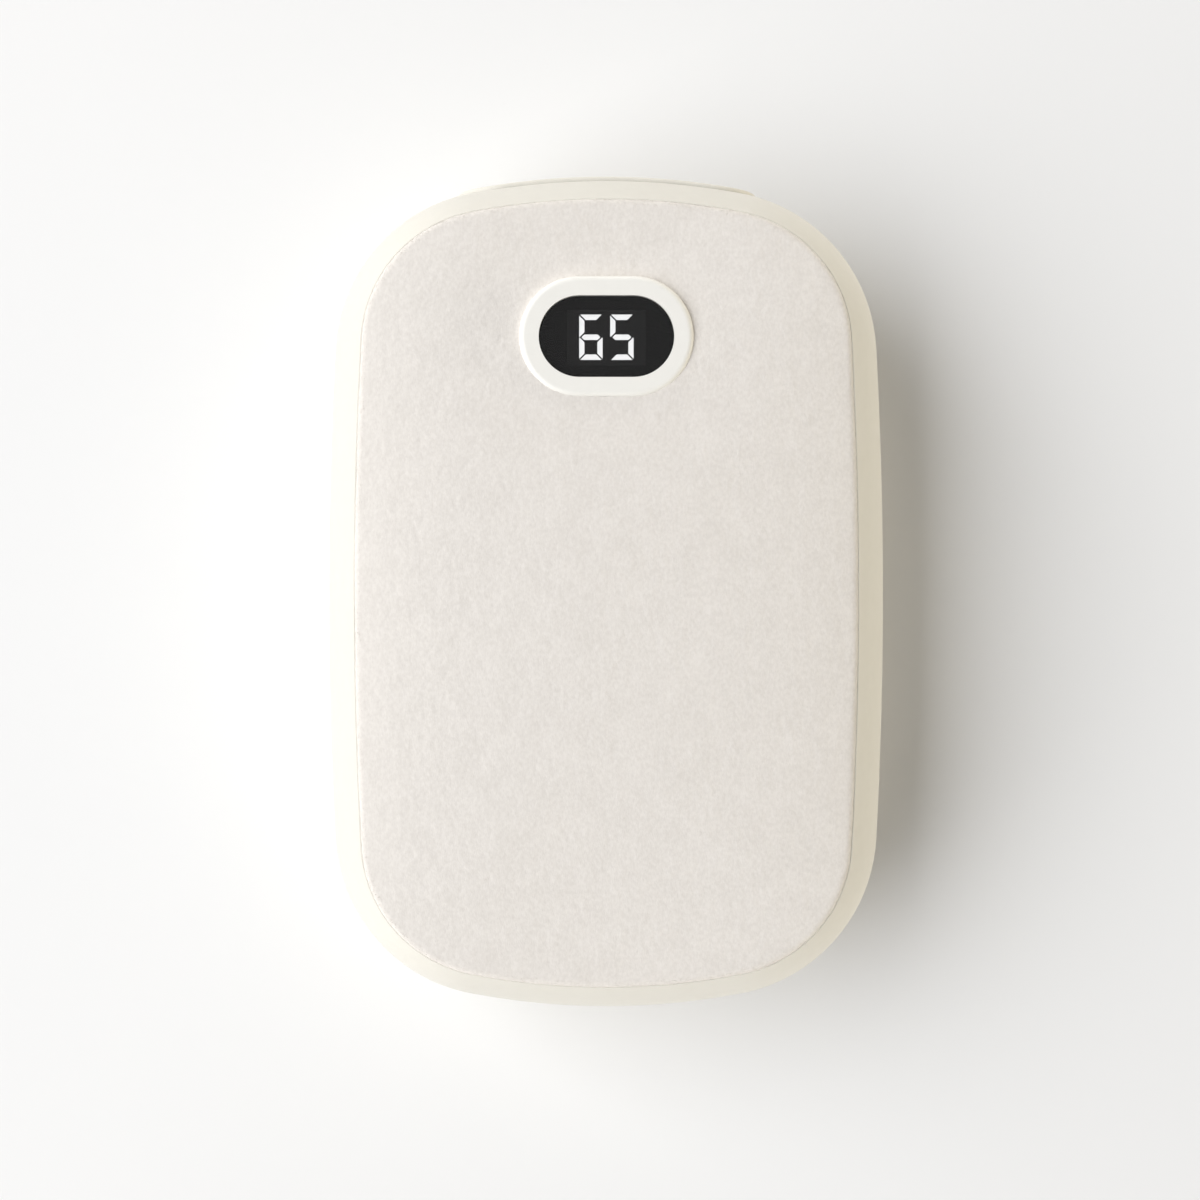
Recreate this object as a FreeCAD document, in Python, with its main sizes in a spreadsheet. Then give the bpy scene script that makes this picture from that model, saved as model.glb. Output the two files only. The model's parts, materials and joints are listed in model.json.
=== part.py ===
import FreeCAD, Part
import math
import os
from types import SimpleNamespace

import Sketcher

# Rechargeable hand warmer: a pebble-shaped housing of two moulded shells, a fabric pad on each
# heated face, a two-digit display in an oval bezel, and an end panel that holds the power button
# and the charging socket. Millimetres. The origin is the middle of the rear pad, on which the
# warmer lies. +Z points out of the front pad and +Y points at the end panel.

# Driving sizes, each set once here and read everywhere else by its name
SIZES = {
    # Plan outline of the housing: side, end and corner arcs, tangent to each other
    "body_width": 66.0,
    "body_length": 98.0,
    "side_bow_radius": 540.0,
    "end_bow_radius": 85.0,
    "corner_bow_radius": 20.0,
    # Cross-section of the housing wall
    "wall_bulge_radius": 20.3,
    "wall_thickness": 2.0,
    "deck_thickness": 1.6,
    "deck_lap": 1.0,
    "rim_land": 0.18,
    "rim_drop": 1.8,
    "rim_edge_radius": 0.07,
    "seam_bevel": 0.2,
    "lip_height": 1.2,
    "lip_thickness": 0.9,
    "lip_gap": 0.1,
    # Layers of each heated face, and the space between the two decks
    "pad_thickness": 2.2,
    "pad_edge_radius": 0.5,
    "pad_crown_height": 1.5,
    "pad_crown_lap": 0.5,
    "pad_middle_radius": 1.6,
    "plate_thickness": 0.8,
    "film_thickness": 0.3,
    "film_margin": 1.0,
    "insulation_thickness": 0.9,
    "layer_gap": 0.2,
    "cavity_height": 17.6,
    # Display bezel, lens and gasket
    "bezel_width": 19.5,
    "bezel_length": 13.6,
    "bezel_end_distance": 20.4,
    "bezel_proud": 0.25,
    "bezel_edge_radius": 0.65,
    "bezel_gap": 0.15,
    "window_width": 15.1,
    "window_length": 9.1,
    "bezel_lip": 0.6,
    "lens_ledge": 0.65,
    "lens_gap": 0.1,
    "lens_flange_thickness": 0.8,
    "lens_sink": 0.1,
    "gasket_thickness": 1.0,
    "gasket_lap": 0.4,
    "gasket_gap": 0.2,
    # Two-digit display module
    "module_width": 9.6,
    "module_length": 7.0,
    "module_depth": 5.85,
    "digit_height": 5.08,
    "digit_width": 2.63,
    "digit_pitch": 3.49,
    "digit_rise": 0.22,
    "segment_width": 0.585,
    "segment_gap": 0.135,
    "segment_thickness": 0.2,
    "pin_radius": 0.25,
    "pin_pitch": 1.6,
    "pin_row_spacing": 5.0,
    "pin_tail": 0.8,
    "pin_gap": 0.1,
    # End panel
    "panel_width": 36.0,
    "panel_height": 12.0,
    "panel_proud": 0.45,
    "panel_gap": 0.12,
    "panel_edge_radius": 0.3,
    "panel_flange_margin": 0.8,
    "panel_flange_thickness": 0.9,
    "panel_flange_gap": 0.05,
    "panel_ring_width": 1.5,
    "prism_depth": 12.0,
    "end_overrun": 2.0,
    # Power button and the switch behind it
    "button_width": 10.0,
    "button_height": 5.6,
    "button_side_distance": 8.5,
    "button_sink": 0.1,
    "button_gap": 0.15,
    "button_rest_gap": 0.05,
    "button_flange_margin": 0.8,
    "button_flange_thickness": 0.8,
    "button_post_width": 2.4,
    "button_post_height": 2.0,
    "button_post_length": 0.8,
    "button_travel": 0.5,
    "plunger_width": 3.0,
    "plunger_height": 1.4,
    "plunger_reach": 1.4,
    "plunger_seat": 1.2,
    "plunger_gap": 0.06,
    "switch_width": 6.6,
    "switch_depth": 3.4,
    "switch_height": 3.2,
    # Charging socket
    "socket_width": 8.94,
    "socket_height": 3.26,
    "socket_length": 7.35,
    "socket_wall": 0.3,
    "socket_side_distance": 8.5,
    "socket_recess": 0.6,
    "socket_gap": 0.28,
    "tongue_width": 6.69,
    "tongue_thickness": 0.7,
    "tongue_setback": 0.9,
    "tongue_base_length": 1.6,
    "tongue_gap": 0.02,
    # Main board and the parts soldered to it
    "board_reach": 28.6,
    "board_inset": 3.6,
    "board_thickness": 1.2,
    "inductor_width": 7.0,
    "inductor_height": 3.0,
    "inductor_side_inset": 18.0,
    "inductor_end_inset": 15.1,
    "chip_width": 5.0,
    "chip_height": 0.9,
    "chip_side_inset": 19.0,
    "chip_end_inset": 14.6,
    "transistor_width": 4.0,
    "transistor_length": 3.0,
    "transistor_height": 1.1,
    "transistor_side_distance": 5.0,
    "transistor_end_inset": 10.1,
    "capacitor_width": 2.0,
    "capacitor_length": 1.25,
    "capacitor_height": 1.25,
    "capacitor_spacing": 5.0,
    "capacitor_end_inset": 6.3,
    # Battery cells in their tray
    "cell_side_room": 9.0,
    "cell_gap": 0.3,
    "cell_corner_radius": 2.5,
    "cell_edge_radius": 1.2,
    "terrace_length": 4.0,
    "terrace_thickness": 0.6,
    "foam_thickness": 0.5,
    "foam_margin": 4.0,
    "tray_wall": 1.2,
    "tray_room": 0.3,
    "tray_headroom": 5.6,
    "tray_corner_radius": 4.0,
    "tab_width": 5.0,
    "tab_thickness": 0.2,
    "tab_side_distance": 10.0,
    "guard_board_width": 30.0,
    "guard_board_length": 3.2,
    "guard_board_thickness": 0.8,
    # Leads and temperature sensors
    "lead_radius": 0.55,
    "lead_gap": 0.35,
    "battery_lead_side_distance": 3.0,
    "battery_lead_rise_room": 1.1,
    "battery_lead_landing": 2.75,
    "heater_lead_bezel_room": 4.25,
    "heater_lead_standoff_room": 1.7,
    "heater_lead_shift": 0.6,
    "thermistor_width": 2.4,
    "thermistor_length": 1.4,
    "thermistor_height": 0.8,
    "thermistor_gap": 0.3,
    # Screws that close the housing
    "case_screw_radius": 1.0,
    "case_head_radius": 1.9,
    "case_head_height": 1.4,
    "case_head_recess": 4.0,
    "case_screw_tip_room": 3.2,
    "rear_boss_radius": 3.0,
    "front_boss_radius": 2.3,
    "boss_board_room": 0.4,
    "boss_side_inset": 11.0,
    "end_boss_side_inset": 19.0,
    "end_boss_inset": 7.8,
    # Screws that hold the main board
    "board_screw_radius": 0.8,
    "board_head_radius": 1.4,
    "board_head_height": 0.9,
    "board_screw_length": 5.0,
    "standoff_radius": 2.2,
    "standoff_side_inset": 12.0,
    "standoff_up_board": 4.1,
    "end_standoff_gap": 1.2,
    "end_standoff_inset": 9.8,
    "screw_gap": 0.2,
    "thread_gap": 0.02,
}

# The temperature on the display, as the lit segments of its two digits
LIT_SEGMENTS = ("afgecd", "afgcd")
PINS_PER_ROW = 5
CAPACITOR_COUNT = 6

# The share of its shorter run that each end of a lead's bend takes
LEAD_BEND_SHARE = 0.45

# How near two lengths, a point and a skin, and two volumes are when they count as the same
CLOSE = 1e-4
SKIN_CLOSE = 0.01
VOLUME_CLOSE = 0.01

doc = FreeCAD.newDocument("hand_warmer")
sheet = doc.addObject("Spreadsheet::Sheet", "Sizes")
for row, (alias, number) in enumerate(SIZES.items(), 1):
    sheet.set(f"A{row}", str(number))
    sheet.setAlias(f"A{row}", alias)
levels = doc.addObject("App::VarSet", "Levels")
doc.recompute()

pieces = []


class Size:
    """A length: its number now, and the expression that keeps it tied to the driving sizes."""

    def __init__(self, number, text):
        self.number = number
        self.text = text

    def __add__(self, other):
        other = as_size(other)
        return Size(self.number + other.number, f"({self.text} + {other.text})")

    def __sub__(self, other):
        other = as_size(other)
        return Size(self.number - other.number, f"({self.text} - {other.text})")

    def __mul__(self, other):
        other = as_size(other)
        return Size(self.number * other.number, f"({self.text} * {other.text})")

    def __truediv__(self, other):
        other = as_size(other)
        return Size(self.number / other.number, f"({self.text} / {other.text})")

    def __neg__(self):
        return Size(-self.number, f"(0 - {self.text})")


def as_size(value):
    if isinstance(value, Size):
        return value
    return Size(float(value), repr(float(value)))


def root(value):
    return Size(math.sqrt(value.number), f"sqrt({value.text})")


def derive(name, value):
    """Keep a worked-out length in the document under its own name."""
    levels.addProperty("App::PropertyFloat", name)
    levels.setExpression(name, value.text)
    return Size(value.number, f"Levels.{name}")


size = SimpleNamespace(**{alias: Size(number, f"Sizes.{alias}") for alias, number in SIZES.items()})

# Heights of the layers, from the rear pad's face to the front pad's face
rear_plate_z = size.pad_thickness
rear_film_z = rear_plate_z + size.plate_thickness
rear_insulation_z = derive("rear_insulation_z", rear_film_z + size.film_thickness)
rear_deck_z = derive("rear_deck_z", rear_insulation_z + size.insulation_thickness)
floor_z = derive("floor_z", rear_deck_z + size.deck_thickness)
roof_z = derive("roof_z", floor_z + size.cavity_height)
front_deck_z = derive("front_deck_z", roof_z + size.deck_thickness)
front_film_z = derive("front_film_z", front_deck_z + size.insulation_thickness)
front_plate_z = derive("front_plate_z", front_film_z + size.film_thickness)
front_pad_z = derive("front_pad_z", front_plate_z + size.plate_thickness)
front_face_z = derive("front_face_z", front_pad_z + size.pad_thickness)
seam_z = derive("seam_z", front_face_z / 2)
front_rim_z = derive("front_rim_z", front_face_z - size.rim_drop)
rear_rim_z = size.rim_drop

# Places in plan
half_width = derive("half_width", size.body_width / 2)
half_length = derive("half_length", size.body_length / 2)
bulge_x = derive("bulge_x", half_width - size.wall_bulge_radius)
inner_bulge_radius = derive("inner_bulge_radius", size.wall_bulge_radius - size.wall_thickness)
bezel_y = derive("bezel_y", half_length - size.bezel_end_distance)
board_start_y = derive("board_start_y", half_length - size.board_reach)
boss_y = derive("boss_y", board_start_y - size.boss_board_room - size.rear_boss_radius)
end_boss_y = derive("end_boss_y", size.end_boss_inset - half_length)
tray_top_y = derive("tray_top_y", boss_y - size.rear_boss_radius - size.tray_room)
tray_end_y = derive("tray_end_y", end_boss_y + size.rear_boss_radius + size.tray_room)


def bulge_reach(radius, height):
    """How far out an arc about the wall's bulge centre lies at a height."""
    rise = height - seam_z
    return bulge_x + root(radius * radius - rise * rise)


def end_reach(x):
    """How far along +Y the end of the plan outline lies at a distance from its middle."""
    return half_length - size.end_bow_radius + root(size.end_bow_radius * size.end_bow_radius - x * x)


rim_x = derive("rim_x", bulge_reach(size.wall_bulge_radius, front_rim_z) - size.rim_land)
rim_inset = derive("rim_inset", half_width - rim_x)
web_x = derive("web_x", rim_x - size.deck_lap * 2)
layer_inset = derive("layer_inset", rim_inset + size.layer_gap)
pad_corner_radius = derive("pad_corner_radius", size.corner_bow_radius - layer_inset)
crown_width = derive("crown_width", pad_corner_radius - size.pad_crown_lap - size.pad_middle_radius)
crown_radius = derive(
    "crown_radius",
    (crown_width * crown_width + size.pad_crown_height * size.pad_crown_height) / size.pad_crown_height / 2,
)

# Heights in and under the display
bezel_top_z = derive("bezel_top_z", front_face_z + size.bezel_proud)
lens_top_z = derive("lens_top_z", bezel_top_z - size.lens_sink)
lens_ledge_z = derive("lens_ledge_z", bezel_top_z - size.bezel_lip)
lens_under_z = derive("lens_under_z", lens_ledge_z - size.lens_flange_thickness)
module_face_z = derive("module_face_z", lens_under_z - size.gasket_thickness)
module_under_z = derive("module_under_z", module_face_z - size.module_depth)
ledge_width = derive("ledge_width", size.window_width + size.lens_ledge * 2)
ledge_length = derive("ledge_length", size.window_length + size.lens_ledge * 2)

# The board hangs the socket and the switch from its underside, level with the seam
board_z = derive("board_z", seam_z + size.socket_height / 2)
board_top_z = derive("board_top_z", board_z + size.board_thickness)
button_back_y = derive(
    "button_back_y",
    end_reach(size.button_side_distance)
    - size.wall_thickness
    - size.button_rest_gap
    - size.button_flange_thickness,
)
post_tip_y = derive("post_tip_y", button_back_y - size.button_post_length)
plunger_tip_y = derive("plunger_tip_y", post_tip_y - size.button_rest_gap)
switch_face_y = derive("switch_face_y", plunger_tip_y - size.plunger_reach)
socket_mouth_y = derive(
    "socket_mouth_y",
    end_reach(size.socket_side_distance) + size.panel_proud - size.socket_recess,
)

# The cells fill what the bosses, the tray and the foam leave free
cell_width = derive("cell_width", size.body_width - size.cell_side_room * 2)
cell_top_y = derive("cell_top_y", tray_top_y - size.tray_wall - size.cell_gap)
cell_end_y = derive("cell_end_y", tray_end_y + size.tray_wall + size.cell_gap)
cell_length = derive("cell_length", cell_top_y - cell_end_y)
cell_thickness = derive("cell_thickness", (size.cavity_height - size.foam_thickness * 3) / 2)
cell_y = derive("cell_y", (cell_top_y + cell_end_y) / 2)
rear_cell_z = derive("rear_cell_z", floor_z + size.foam_thickness)
middle_foam_z = derive("middle_foam_z", rear_cell_z + cell_thickness)
front_cell_z = derive("front_cell_z", middle_foam_z + size.foam_thickness)
front_foam_z = derive("front_foam_z", front_cell_z + cell_thickness)
terrace_rise = derive("terrace_rise", (cell_thickness - size.terrace_thickness) / 2)
terrace_y = derive("terrace_y", cell_top_y - size.terrace_length / 2)

# Screws: where each pair stands, mirrored across the middle of the body
case_screw_places = [
    (half_width - size.boss_side_inset, boss_y),
    (half_width - size.end_boss_side_inset, end_boss_y),
]
standoff_y = derive("standoff_y", board_start_y + size.standoff_up_board)
socket_side_x = size.socket_side_distance + size.socket_width / 2
end_standoff_x = derive("end_standoff_x", socket_side_x + size.end_standoff_gap + size.standoff_radius)
board_screw_places = [
    (half_width - size.standoff_side_inset, standoff_y),
    (end_standoff_x, half_length - size.end_standoff_inset),
]
case_seat_z = derive("case_seat_z", rear_deck_z + size.case_head_recess)
case_tip_z = derive("case_tip_z", roof_z - size.case_screw_tip_room)


def both_sides(places):
    """The places, and the same places mirrored across the middle of the body."""
    return [(side, y) for x, y in places for side in (x, -x)]


case_screws_all = both_sides(case_screw_places)
board_screws_all = both_sides(board_screw_places)
heater_lead_x = derive("heater_lead_x", size.bezel_width / 2 + size.heater_lead_bezel_room)
heater_lead_y = derive(
    "heater_lead_y", standoff_y + size.standoff_radius + size.heater_lead_standoff_room
)
heater_lead_places = both_sides([(heater_lead_x, heater_lead_y)])


# Bodies and sketches


def new_piece(label):
    """A body that is one of the object's own pieces."""
    body = doc.addObject("PartDesign::Body", label)
    pieces.append(body)
    return body


def origin_plane(body, role):
    return next(feature for feature in body.Origin.OriginFeatures if feature.Role == role)


def new_sketch(body, name, role, offset):
    sketch = body.newObject("Sketcher::SketchObject", name)
    sketch.AttachmentSupport = (origin_plane(body, role), [""])
    sketch.MapMode = "FlatFace"
    for axis, shift in zip("xyz", offset):
        sketch.setExpression(f"AttachmentOffset.Base.{axis}", as_size(shift).text)
    return sketch


def flat_sketch(body, name, x=0, y=0, z=0):
    """A sketch parallel to the pads, facing +Z."""
    return new_sketch(body, name, "XY_Plane", (x, y, z))


def upright_sketch(body, name, x=0, y=0, z=0):
    """A sketch across the body, facing -Y, with +X across it and +Z up it."""
    return new_sketch(body, name, "XZ_Plane", (x, z, -as_size(y)))


def dimension(sketch, kind, ends, length):
    """A driving constraint tied to a length."""
    index = sketch.addConstraint(Sketcher.Constraint(kind, *ends, length.number))
    name = f"length_{index}"
    sketch.renameConstraint(index, name)
    sketch.setExpression(f"Constraints.{name}", length.text)


def pin_point(sketch, shape, point, x, y):
    """Hold a point of a shape at a signed distance from the sketch's origin."""
    for kind, axis, length in (("DistanceX", -2, as_size(x)), ("DistanceY", -1, as_size(y))):
        if abs(length.number) < CLOSE:
            sketch.addConstraint(Sketcher.Constraint("PointOnObject", shape, point, axis))
        elif length.number > 0:
            dimension(sketch, kind, (-1, 1, shape, point), length)
        else:
            dimension(sketch, kind, (shape, point, -1, 1), -length)


def flat_point(x, y):
    return FreeCAD.Vector(x, y, 0)


def draw_arc(sketch, x, y, radius, start, end):
    circle = Part.Circle(flat_point(x, y), FreeCAD.Vector(0, 0, 1), radius)
    return sketch.addGeometry(Part.ArcOfCircle(circle, start, end), False)


def draw_line(sketch, start, end):
    return sketch.addGeometry(Part.LineSegment(flat_point(*start), flat_point(*end)), False)


def corner_centre():
    """Centre of the plan outline's corner arc, which touches the side arc and the end arc."""
    side_x = half_width.number - size.side_bow_radius.number
    end_y = half_length.number - size.end_bow_radius.number
    side_gap = size.side_bow_radius.number - size.corner_bow_radius.number
    end_gap = size.end_bow_radius.number - size.corner_bow_radius.number
    apart = math.hypot(side_x, end_y)
    along = (side_gap**2 - end_gap**2 + apart**2) / (2 * apart)
    across = math.sqrt(side_gap**2 - along**2)
    towards = (-side_x / apart, end_y / apart)
    return (
        side_x + along * towards[0] - across * towards[1],
        along * towards[1] + across * towards[0],
    )


def draw_outline(sketch, inset=0):
    """The housing's plan outline, drawn in by an inset: eight arcs, each tangent to the next."""
    inset = as_size(inset)
    corner_x, corner_y = corner_centre()
    side_x = half_width.number - size.side_bow_radius.number
    end_y = half_length.number - size.end_bow_radius.number
    side_angle = math.atan2(corner_y, corner_x - side_x)
    end_angle = math.atan2(corner_x, corner_y - end_y)
    side_radius = size.side_bow_radius - inset
    end_radius = size.end_bow_radius - inset
    corner_radius = size.corner_bow_radius - inset
    quarter = math.pi / 2
    arcs = [
        (side_x, 0, side_radius, -side_angle, side_angle),
        (corner_x, corner_y, corner_radius, side_angle, quarter - end_angle),
        (0, end_y, end_radius, quarter - end_angle, quarter + end_angle),
        (-corner_x, corner_y, corner_radius, quarter + end_angle, 2 * quarter - side_angle),
        (-side_x, 0, side_radius, 2 * quarter - side_angle, 2 * quarter + side_angle),
        (-corner_x, -corner_y, corner_radius, 2 * quarter + side_angle, 3 * quarter - end_angle),
        (0, -end_y, end_radius, 3 * quarter - end_angle, 3 * quarter + end_angle),
        (corner_x, -corner_y, corner_radius, 3 * quarter + end_angle, 4 * quarter - side_angle),
    ]
    for x, y, radius, start, end in arcs:
        draw_arc(sketch, x, y, radius.number, start, end)
    for index in range(len(arcs)):
        sketch.addConstraint(Sketcher.Constraint("Tangent", index, 2, (index + 1) % len(arcs), 1))
    side_shift = half_width - size.side_bow_radius
    end_shift = half_length - size.end_bow_radius
    pin_point(sketch, 0, 3, side_shift, 0)
    pin_point(sketch, 4, 3, -side_shift, 0)
    pin_point(sketch, 2, 3, 0, end_shift)
    pin_point(sketch, 6, 3, 0, -end_shift)
    for first, others in ((0, (4,)), (2, (6,)), (1, (3, 5, 7))):
        for other in others:
            sketch.addConstraint(Sketcher.Constraint("Equal", first, other))
    for index, radius in ((0, side_radius), (2, end_radius), (1, corner_radius)):
        dimension(sketch, "Radius", (index,), radius)


def draw_stadium(sketch, width, height):
    """An oblong with round ends, centred on the sketch's origin."""
    radius = height / 2
    reach = (width - height) / 2
    quarter = math.pi / 2
    right = draw_arc(sketch, reach.number, 0, radius.number, -quarter, quarter)
    top = draw_line(sketch, (reach.number, radius.number), (-reach.number, radius.number))
    left = draw_arc(sketch, -reach.number, 0, radius.number, quarter, 3 * quarter)
    low = draw_line(sketch, (-reach.number, -radius.number), (reach.number, -radius.number))
    for first, second in ((right, top), (top, left), (left, low), (low, right)):
        sketch.addConstraint(Sketcher.Constraint("Tangent", first, 2, second, 1))
    pin_point(sketch, right, 3, reach, 0)
    pin_point(sketch, left, 3, -reach, 0)
    sketch.addConstraint(Sketcher.Constraint("Equal", right, left))
    dimension(sketch, "Radius", (right,), radius)


def draw_rectangle(sketch, width, height):
    """A rectangle centred on the sketch's origin."""
    across = width / 2
    up = height / 2
    corners = [(-across, -up), (across, -up), (across, up), (-across, up)]
    lines = []
    for index, (x, y) in enumerate(corners):
        next_x, next_y = corners[(index + 1) % 4]
        lines.append(draw_line(sketch, (x.number, y.number), (next_x.number, next_y.number)))
    for index in range(4):
        sketch.addConstraint(Sketcher.Constraint("Coincident", lines[index], 2, lines[(index + 1) % 4], 1))
        level = "Vertical" if index % 2 else "Horizontal"
        sketch.addConstraint(Sketcher.Constraint(level, lines[index]))
    pin_point(sketch, lines[0], 1, -across, -up)
    pin_point(sketch, lines[2], 1, across, up)


def draw_circles(sketch, places, radius):
    for x, y in places:
        centre = flat_point(as_size(x).number, as_size(y).number)
        shape = sketch.addGeometry(Part.Circle(centre, FreeCAD.Vector(0, 0, 1), radius.number), False)
        pin_point(sketch, shape, 3, x, y)
        dimension(sketch, "Radius", (shape,), radius)


def draw_wall_section(sketch, corners, arcs, centre, arc_ends):
    """A closed section of straight lines and of arcs about one centre.

    Each corner is a place across and up. An arc is keyed by the corner that it leaves. Its ends
    are held by their height alone, or by their place across alone, since the arc gives the other.
    """
    centre_x, centre_z = centre
    count = len(corners)
    on_arc = {index for start in arcs for index in (start, (start + 1) % count)}
    ends = []
    for index in range(count):
        x, z = corners[index]
        next_x, next_z = corners[(index + 1) % count]
        if index not in arcs:
            draw_line(sketch, (x.number, z.number), (next_x.number, next_z.number))
            ends.append((1, 2))
            continue
        angles = [
            math.atan2(height.number - centre_z.number, across.number - centre_x.number)
            for across, height in ((x, z), (next_x, next_z))
        ]
        radius = arcs[index].number
        draw_arc(sketch, centre_x.number, centre_z.number, radius, min(angles), max(angles))
        ends.append((1, 2) if angles[0] < angles[1] else (2, 1))
        pin_point(sketch, index, 3, centre_x, centre_z)
        dimension(sketch, "Radius", (index,), arcs[index])
    for index in range(count):
        following = (index + 1) % count
        constraint = Sketcher.Constraint("Coincident", index, ends[index][1], following, ends[following][0])
        sketch.addConstraint(constraint)
    for index, (x, z) in enumerate(corners):
        if index in on_arc:
            distance = z if arc_ends == "DistanceY" else x
            dimension(sketch, arc_ends, (-1, 1, index, ends[index][0]), distance)
        else:
            pin_point(sketch, index, ends[index][0], x, z)


# Features


def pad(body, sketch, length, backwards=False):
    feature = body.newObject("PartDesign::Pad", f"{sketch.Name}_pad")
    feature.Profile = sketch
    feature.setExpression("Length", as_size(length).text)
    feature.Reversed = backwards
    return feature


def pocket(body, sketch, depth, backwards=False):
    """Cut a sketch into the body, and make sure that the cut met the solid."""
    doc.recompute()
    before = body.Shape.Volume
    feature = body.newObject("PartDesign::Pocket", f"{sketch.Name}_cut")
    feature.Profile = sketch
    feature.setExpression("Length", as_size(depth).text)
    feature.Reversed = backwards
    doc.recompute()
    if not body.Shape.Volume < before:
        raise RuntimeError(f"{feature.Name} cuts nothing")
    return feature


def edges_where(shape, wanted):
    return [index for index, edge in enumerate(shape.Edges, 1) if wanted(edge)]


def level_edges(height):
    """Picks the edges that lie flat at a height."""

    def wanted(edge):
        box = edge.BoundBox
        return abs(box.ZMin - height.number) < CLOSE and abs(box.ZMax - height.number) < CLOSE

    return wanted


def upright_edges(edge):
    box = edge.BoundBox
    return box.XLength < CLOSE and box.YLength < CLOSE


def round_edges(body, name, radius, wanted):
    doc.recompute()
    base = body.Tip
    fillet = body.newObject("PartDesign::Fillet", name)
    fillet.Base = (base, [f"Edge{index}" for index in edges_where(base.Shape, wanted)])
    fillet.setExpression("Radius", radius.text)
    doc.recompute()
    return fillet


def sweep_wall(body, name, corners, arcs, centre=None, arc_ends="DistanceY"):
    """Carry a section round the whole plan outline. Its arcs lie about the wall's bulge centre,
    unless another one is given."""
    path = flat_sketch(body, f"{name}_path")
    draw_outline(path)
    section = upright_sketch(body, f"{name}_section")
    draw_wall_section(section, corners, arcs, centre or (bulge_x, seam_z), arc_ends)
    sweep = body.newObject("PartDesign::AdditivePipe", f"{name}_sweep")
    sweep.Profile = (section, [""])
    sweep.Spine = (path, [""])
    return sweep


def add_outline_pad(body, name, inset, z, thickness):
    sketch = flat_sketch(body, name, z=z)
    draw_outline(sketch, inset)
    return pad(body, sketch, thickness)


def add_box(body, name, x, y, z, width, length, height):
    """A block whose base is centred on a place."""
    sketch = flat_sketch(body, name, x, y, z)
    draw_rectangle(sketch, width, length)
    return pad(body, sketch, height)


def add_posts(body, name, places, radius, z, height):
    sketch = flat_sketch(body, name, z=z)
    draw_circles(sketch, places, radius)
    return pad(body, sketch, height)


def cut_holes(body, name, places, radius, z, height):
    """Round holes from a height upwards."""
    sketch = flat_sketch(body, name, z=z)
    draw_circles(sketch, places, radius)
    return pocket(body, sketch, height, backwards=True)


def cut_stadium(body, name, x, y, z, width, length, height):
    """A round-ended hole from a height upwards."""
    sketch = flat_sketch(body, name, x, y, z)
    draw_stadium(sketch, width, length)
    return pocket(body, sketch, height, backwards=True)


def mirror_across_middle(body, name, features):
    mirror = body.newObject("PartDesign::Mirrored", name)
    mirror.Originals = features
    mirror.MirrorPlane = (origin_plane(body, "YZ_Plane"), [""])
    body.Tip = mirror
    return mirror


def combine(kind, label, base, tool):
    result = doc.addObject(f"Part::{kind}", label)
    result.Base = base
    result.Tool = tool
    return result


def fuse(label, shapes):
    result = doc.addObject("Part::MultiFuse", label)
    result.Shapes = shapes
    return result


# Housing shells


def open_end_wall(shell):
    """The opening that the end panel fills, half of it in each shell."""
    start_y = half_length - size.prism_depth
    sketch = upright_sketch(shell, f"{shell.Name}_end_opening", y=start_y, z=seam_z)
    draw_stadium(sketch, size.panel_width + size.panel_gap * 2, size.panel_height + size.panel_gap * 2)
    pocket(shell, sketch, size.prism_depth + size.end_overrun)


def make_front_shell():
    shell = new_piece("front_shell")
    outer = size.wall_bulge_radius
    lip_x = half_width - size.wall_thickness
    bevel_top = seam_z + size.seam_bevel
    corners = [
        (half_width - size.seam_bevel, seam_z),
        (bulge_reach(outer, bevel_top), bevel_top),
        (bulge_reach(outer, front_rim_z), front_rim_z),
        (rim_x, front_rim_z),
        (rim_x, front_deck_z),
        (web_x, front_deck_z),
        (web_x, roof_z),
        (bulge_reach(inner_bulge_radius, roof_z), roof_z),
        (lip_x, seam_z),
        (lip_x, seam_z - size.lip_height),
        (lip_x + size.lip_thickness, seam_z - size.lip_height),
        (lip_x + size.lip_thickness, seam_z),
    ]
    sweep_wall(shell, "front_wall", corners, {1: outer, 7: inner_bulge_radius})
    round_edges(shell, "front_rim_round", size.rim_edge_radius, level_edges(front_rim_z))
    open_end_wall(shell)
    add_outline_pad(shell, "front_deck", rim_inset + size.deck_lap, roof_z, size.deck_thickness)
    add_posts(shell, "front_bosses", case_screws_all, size.front_boss_radius, seam_z, roof_z - seam_z)
    pilot_radius = size.case_screw_radius + size.thread_gap
    pilot_depth = case_tip_z + size.screw_gap - seam_z
    cut_holes(shell, "front_pilots", case_screws_all, pilot_radius, seam_z, pilot_depth)
    display_hole = (ledge_width, ledge_length, size.deck_thickness)
    cut_stadium(shell, "display_opening", 0, bezel_y, roof_z, *display_hole)
    lead_hole = size.lead_radius + size.lead_gap
    cut_holes(shell, "front_lead_holes", heater_lead_places, lead_hole, roof_z, size.deck_thickness)


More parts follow.
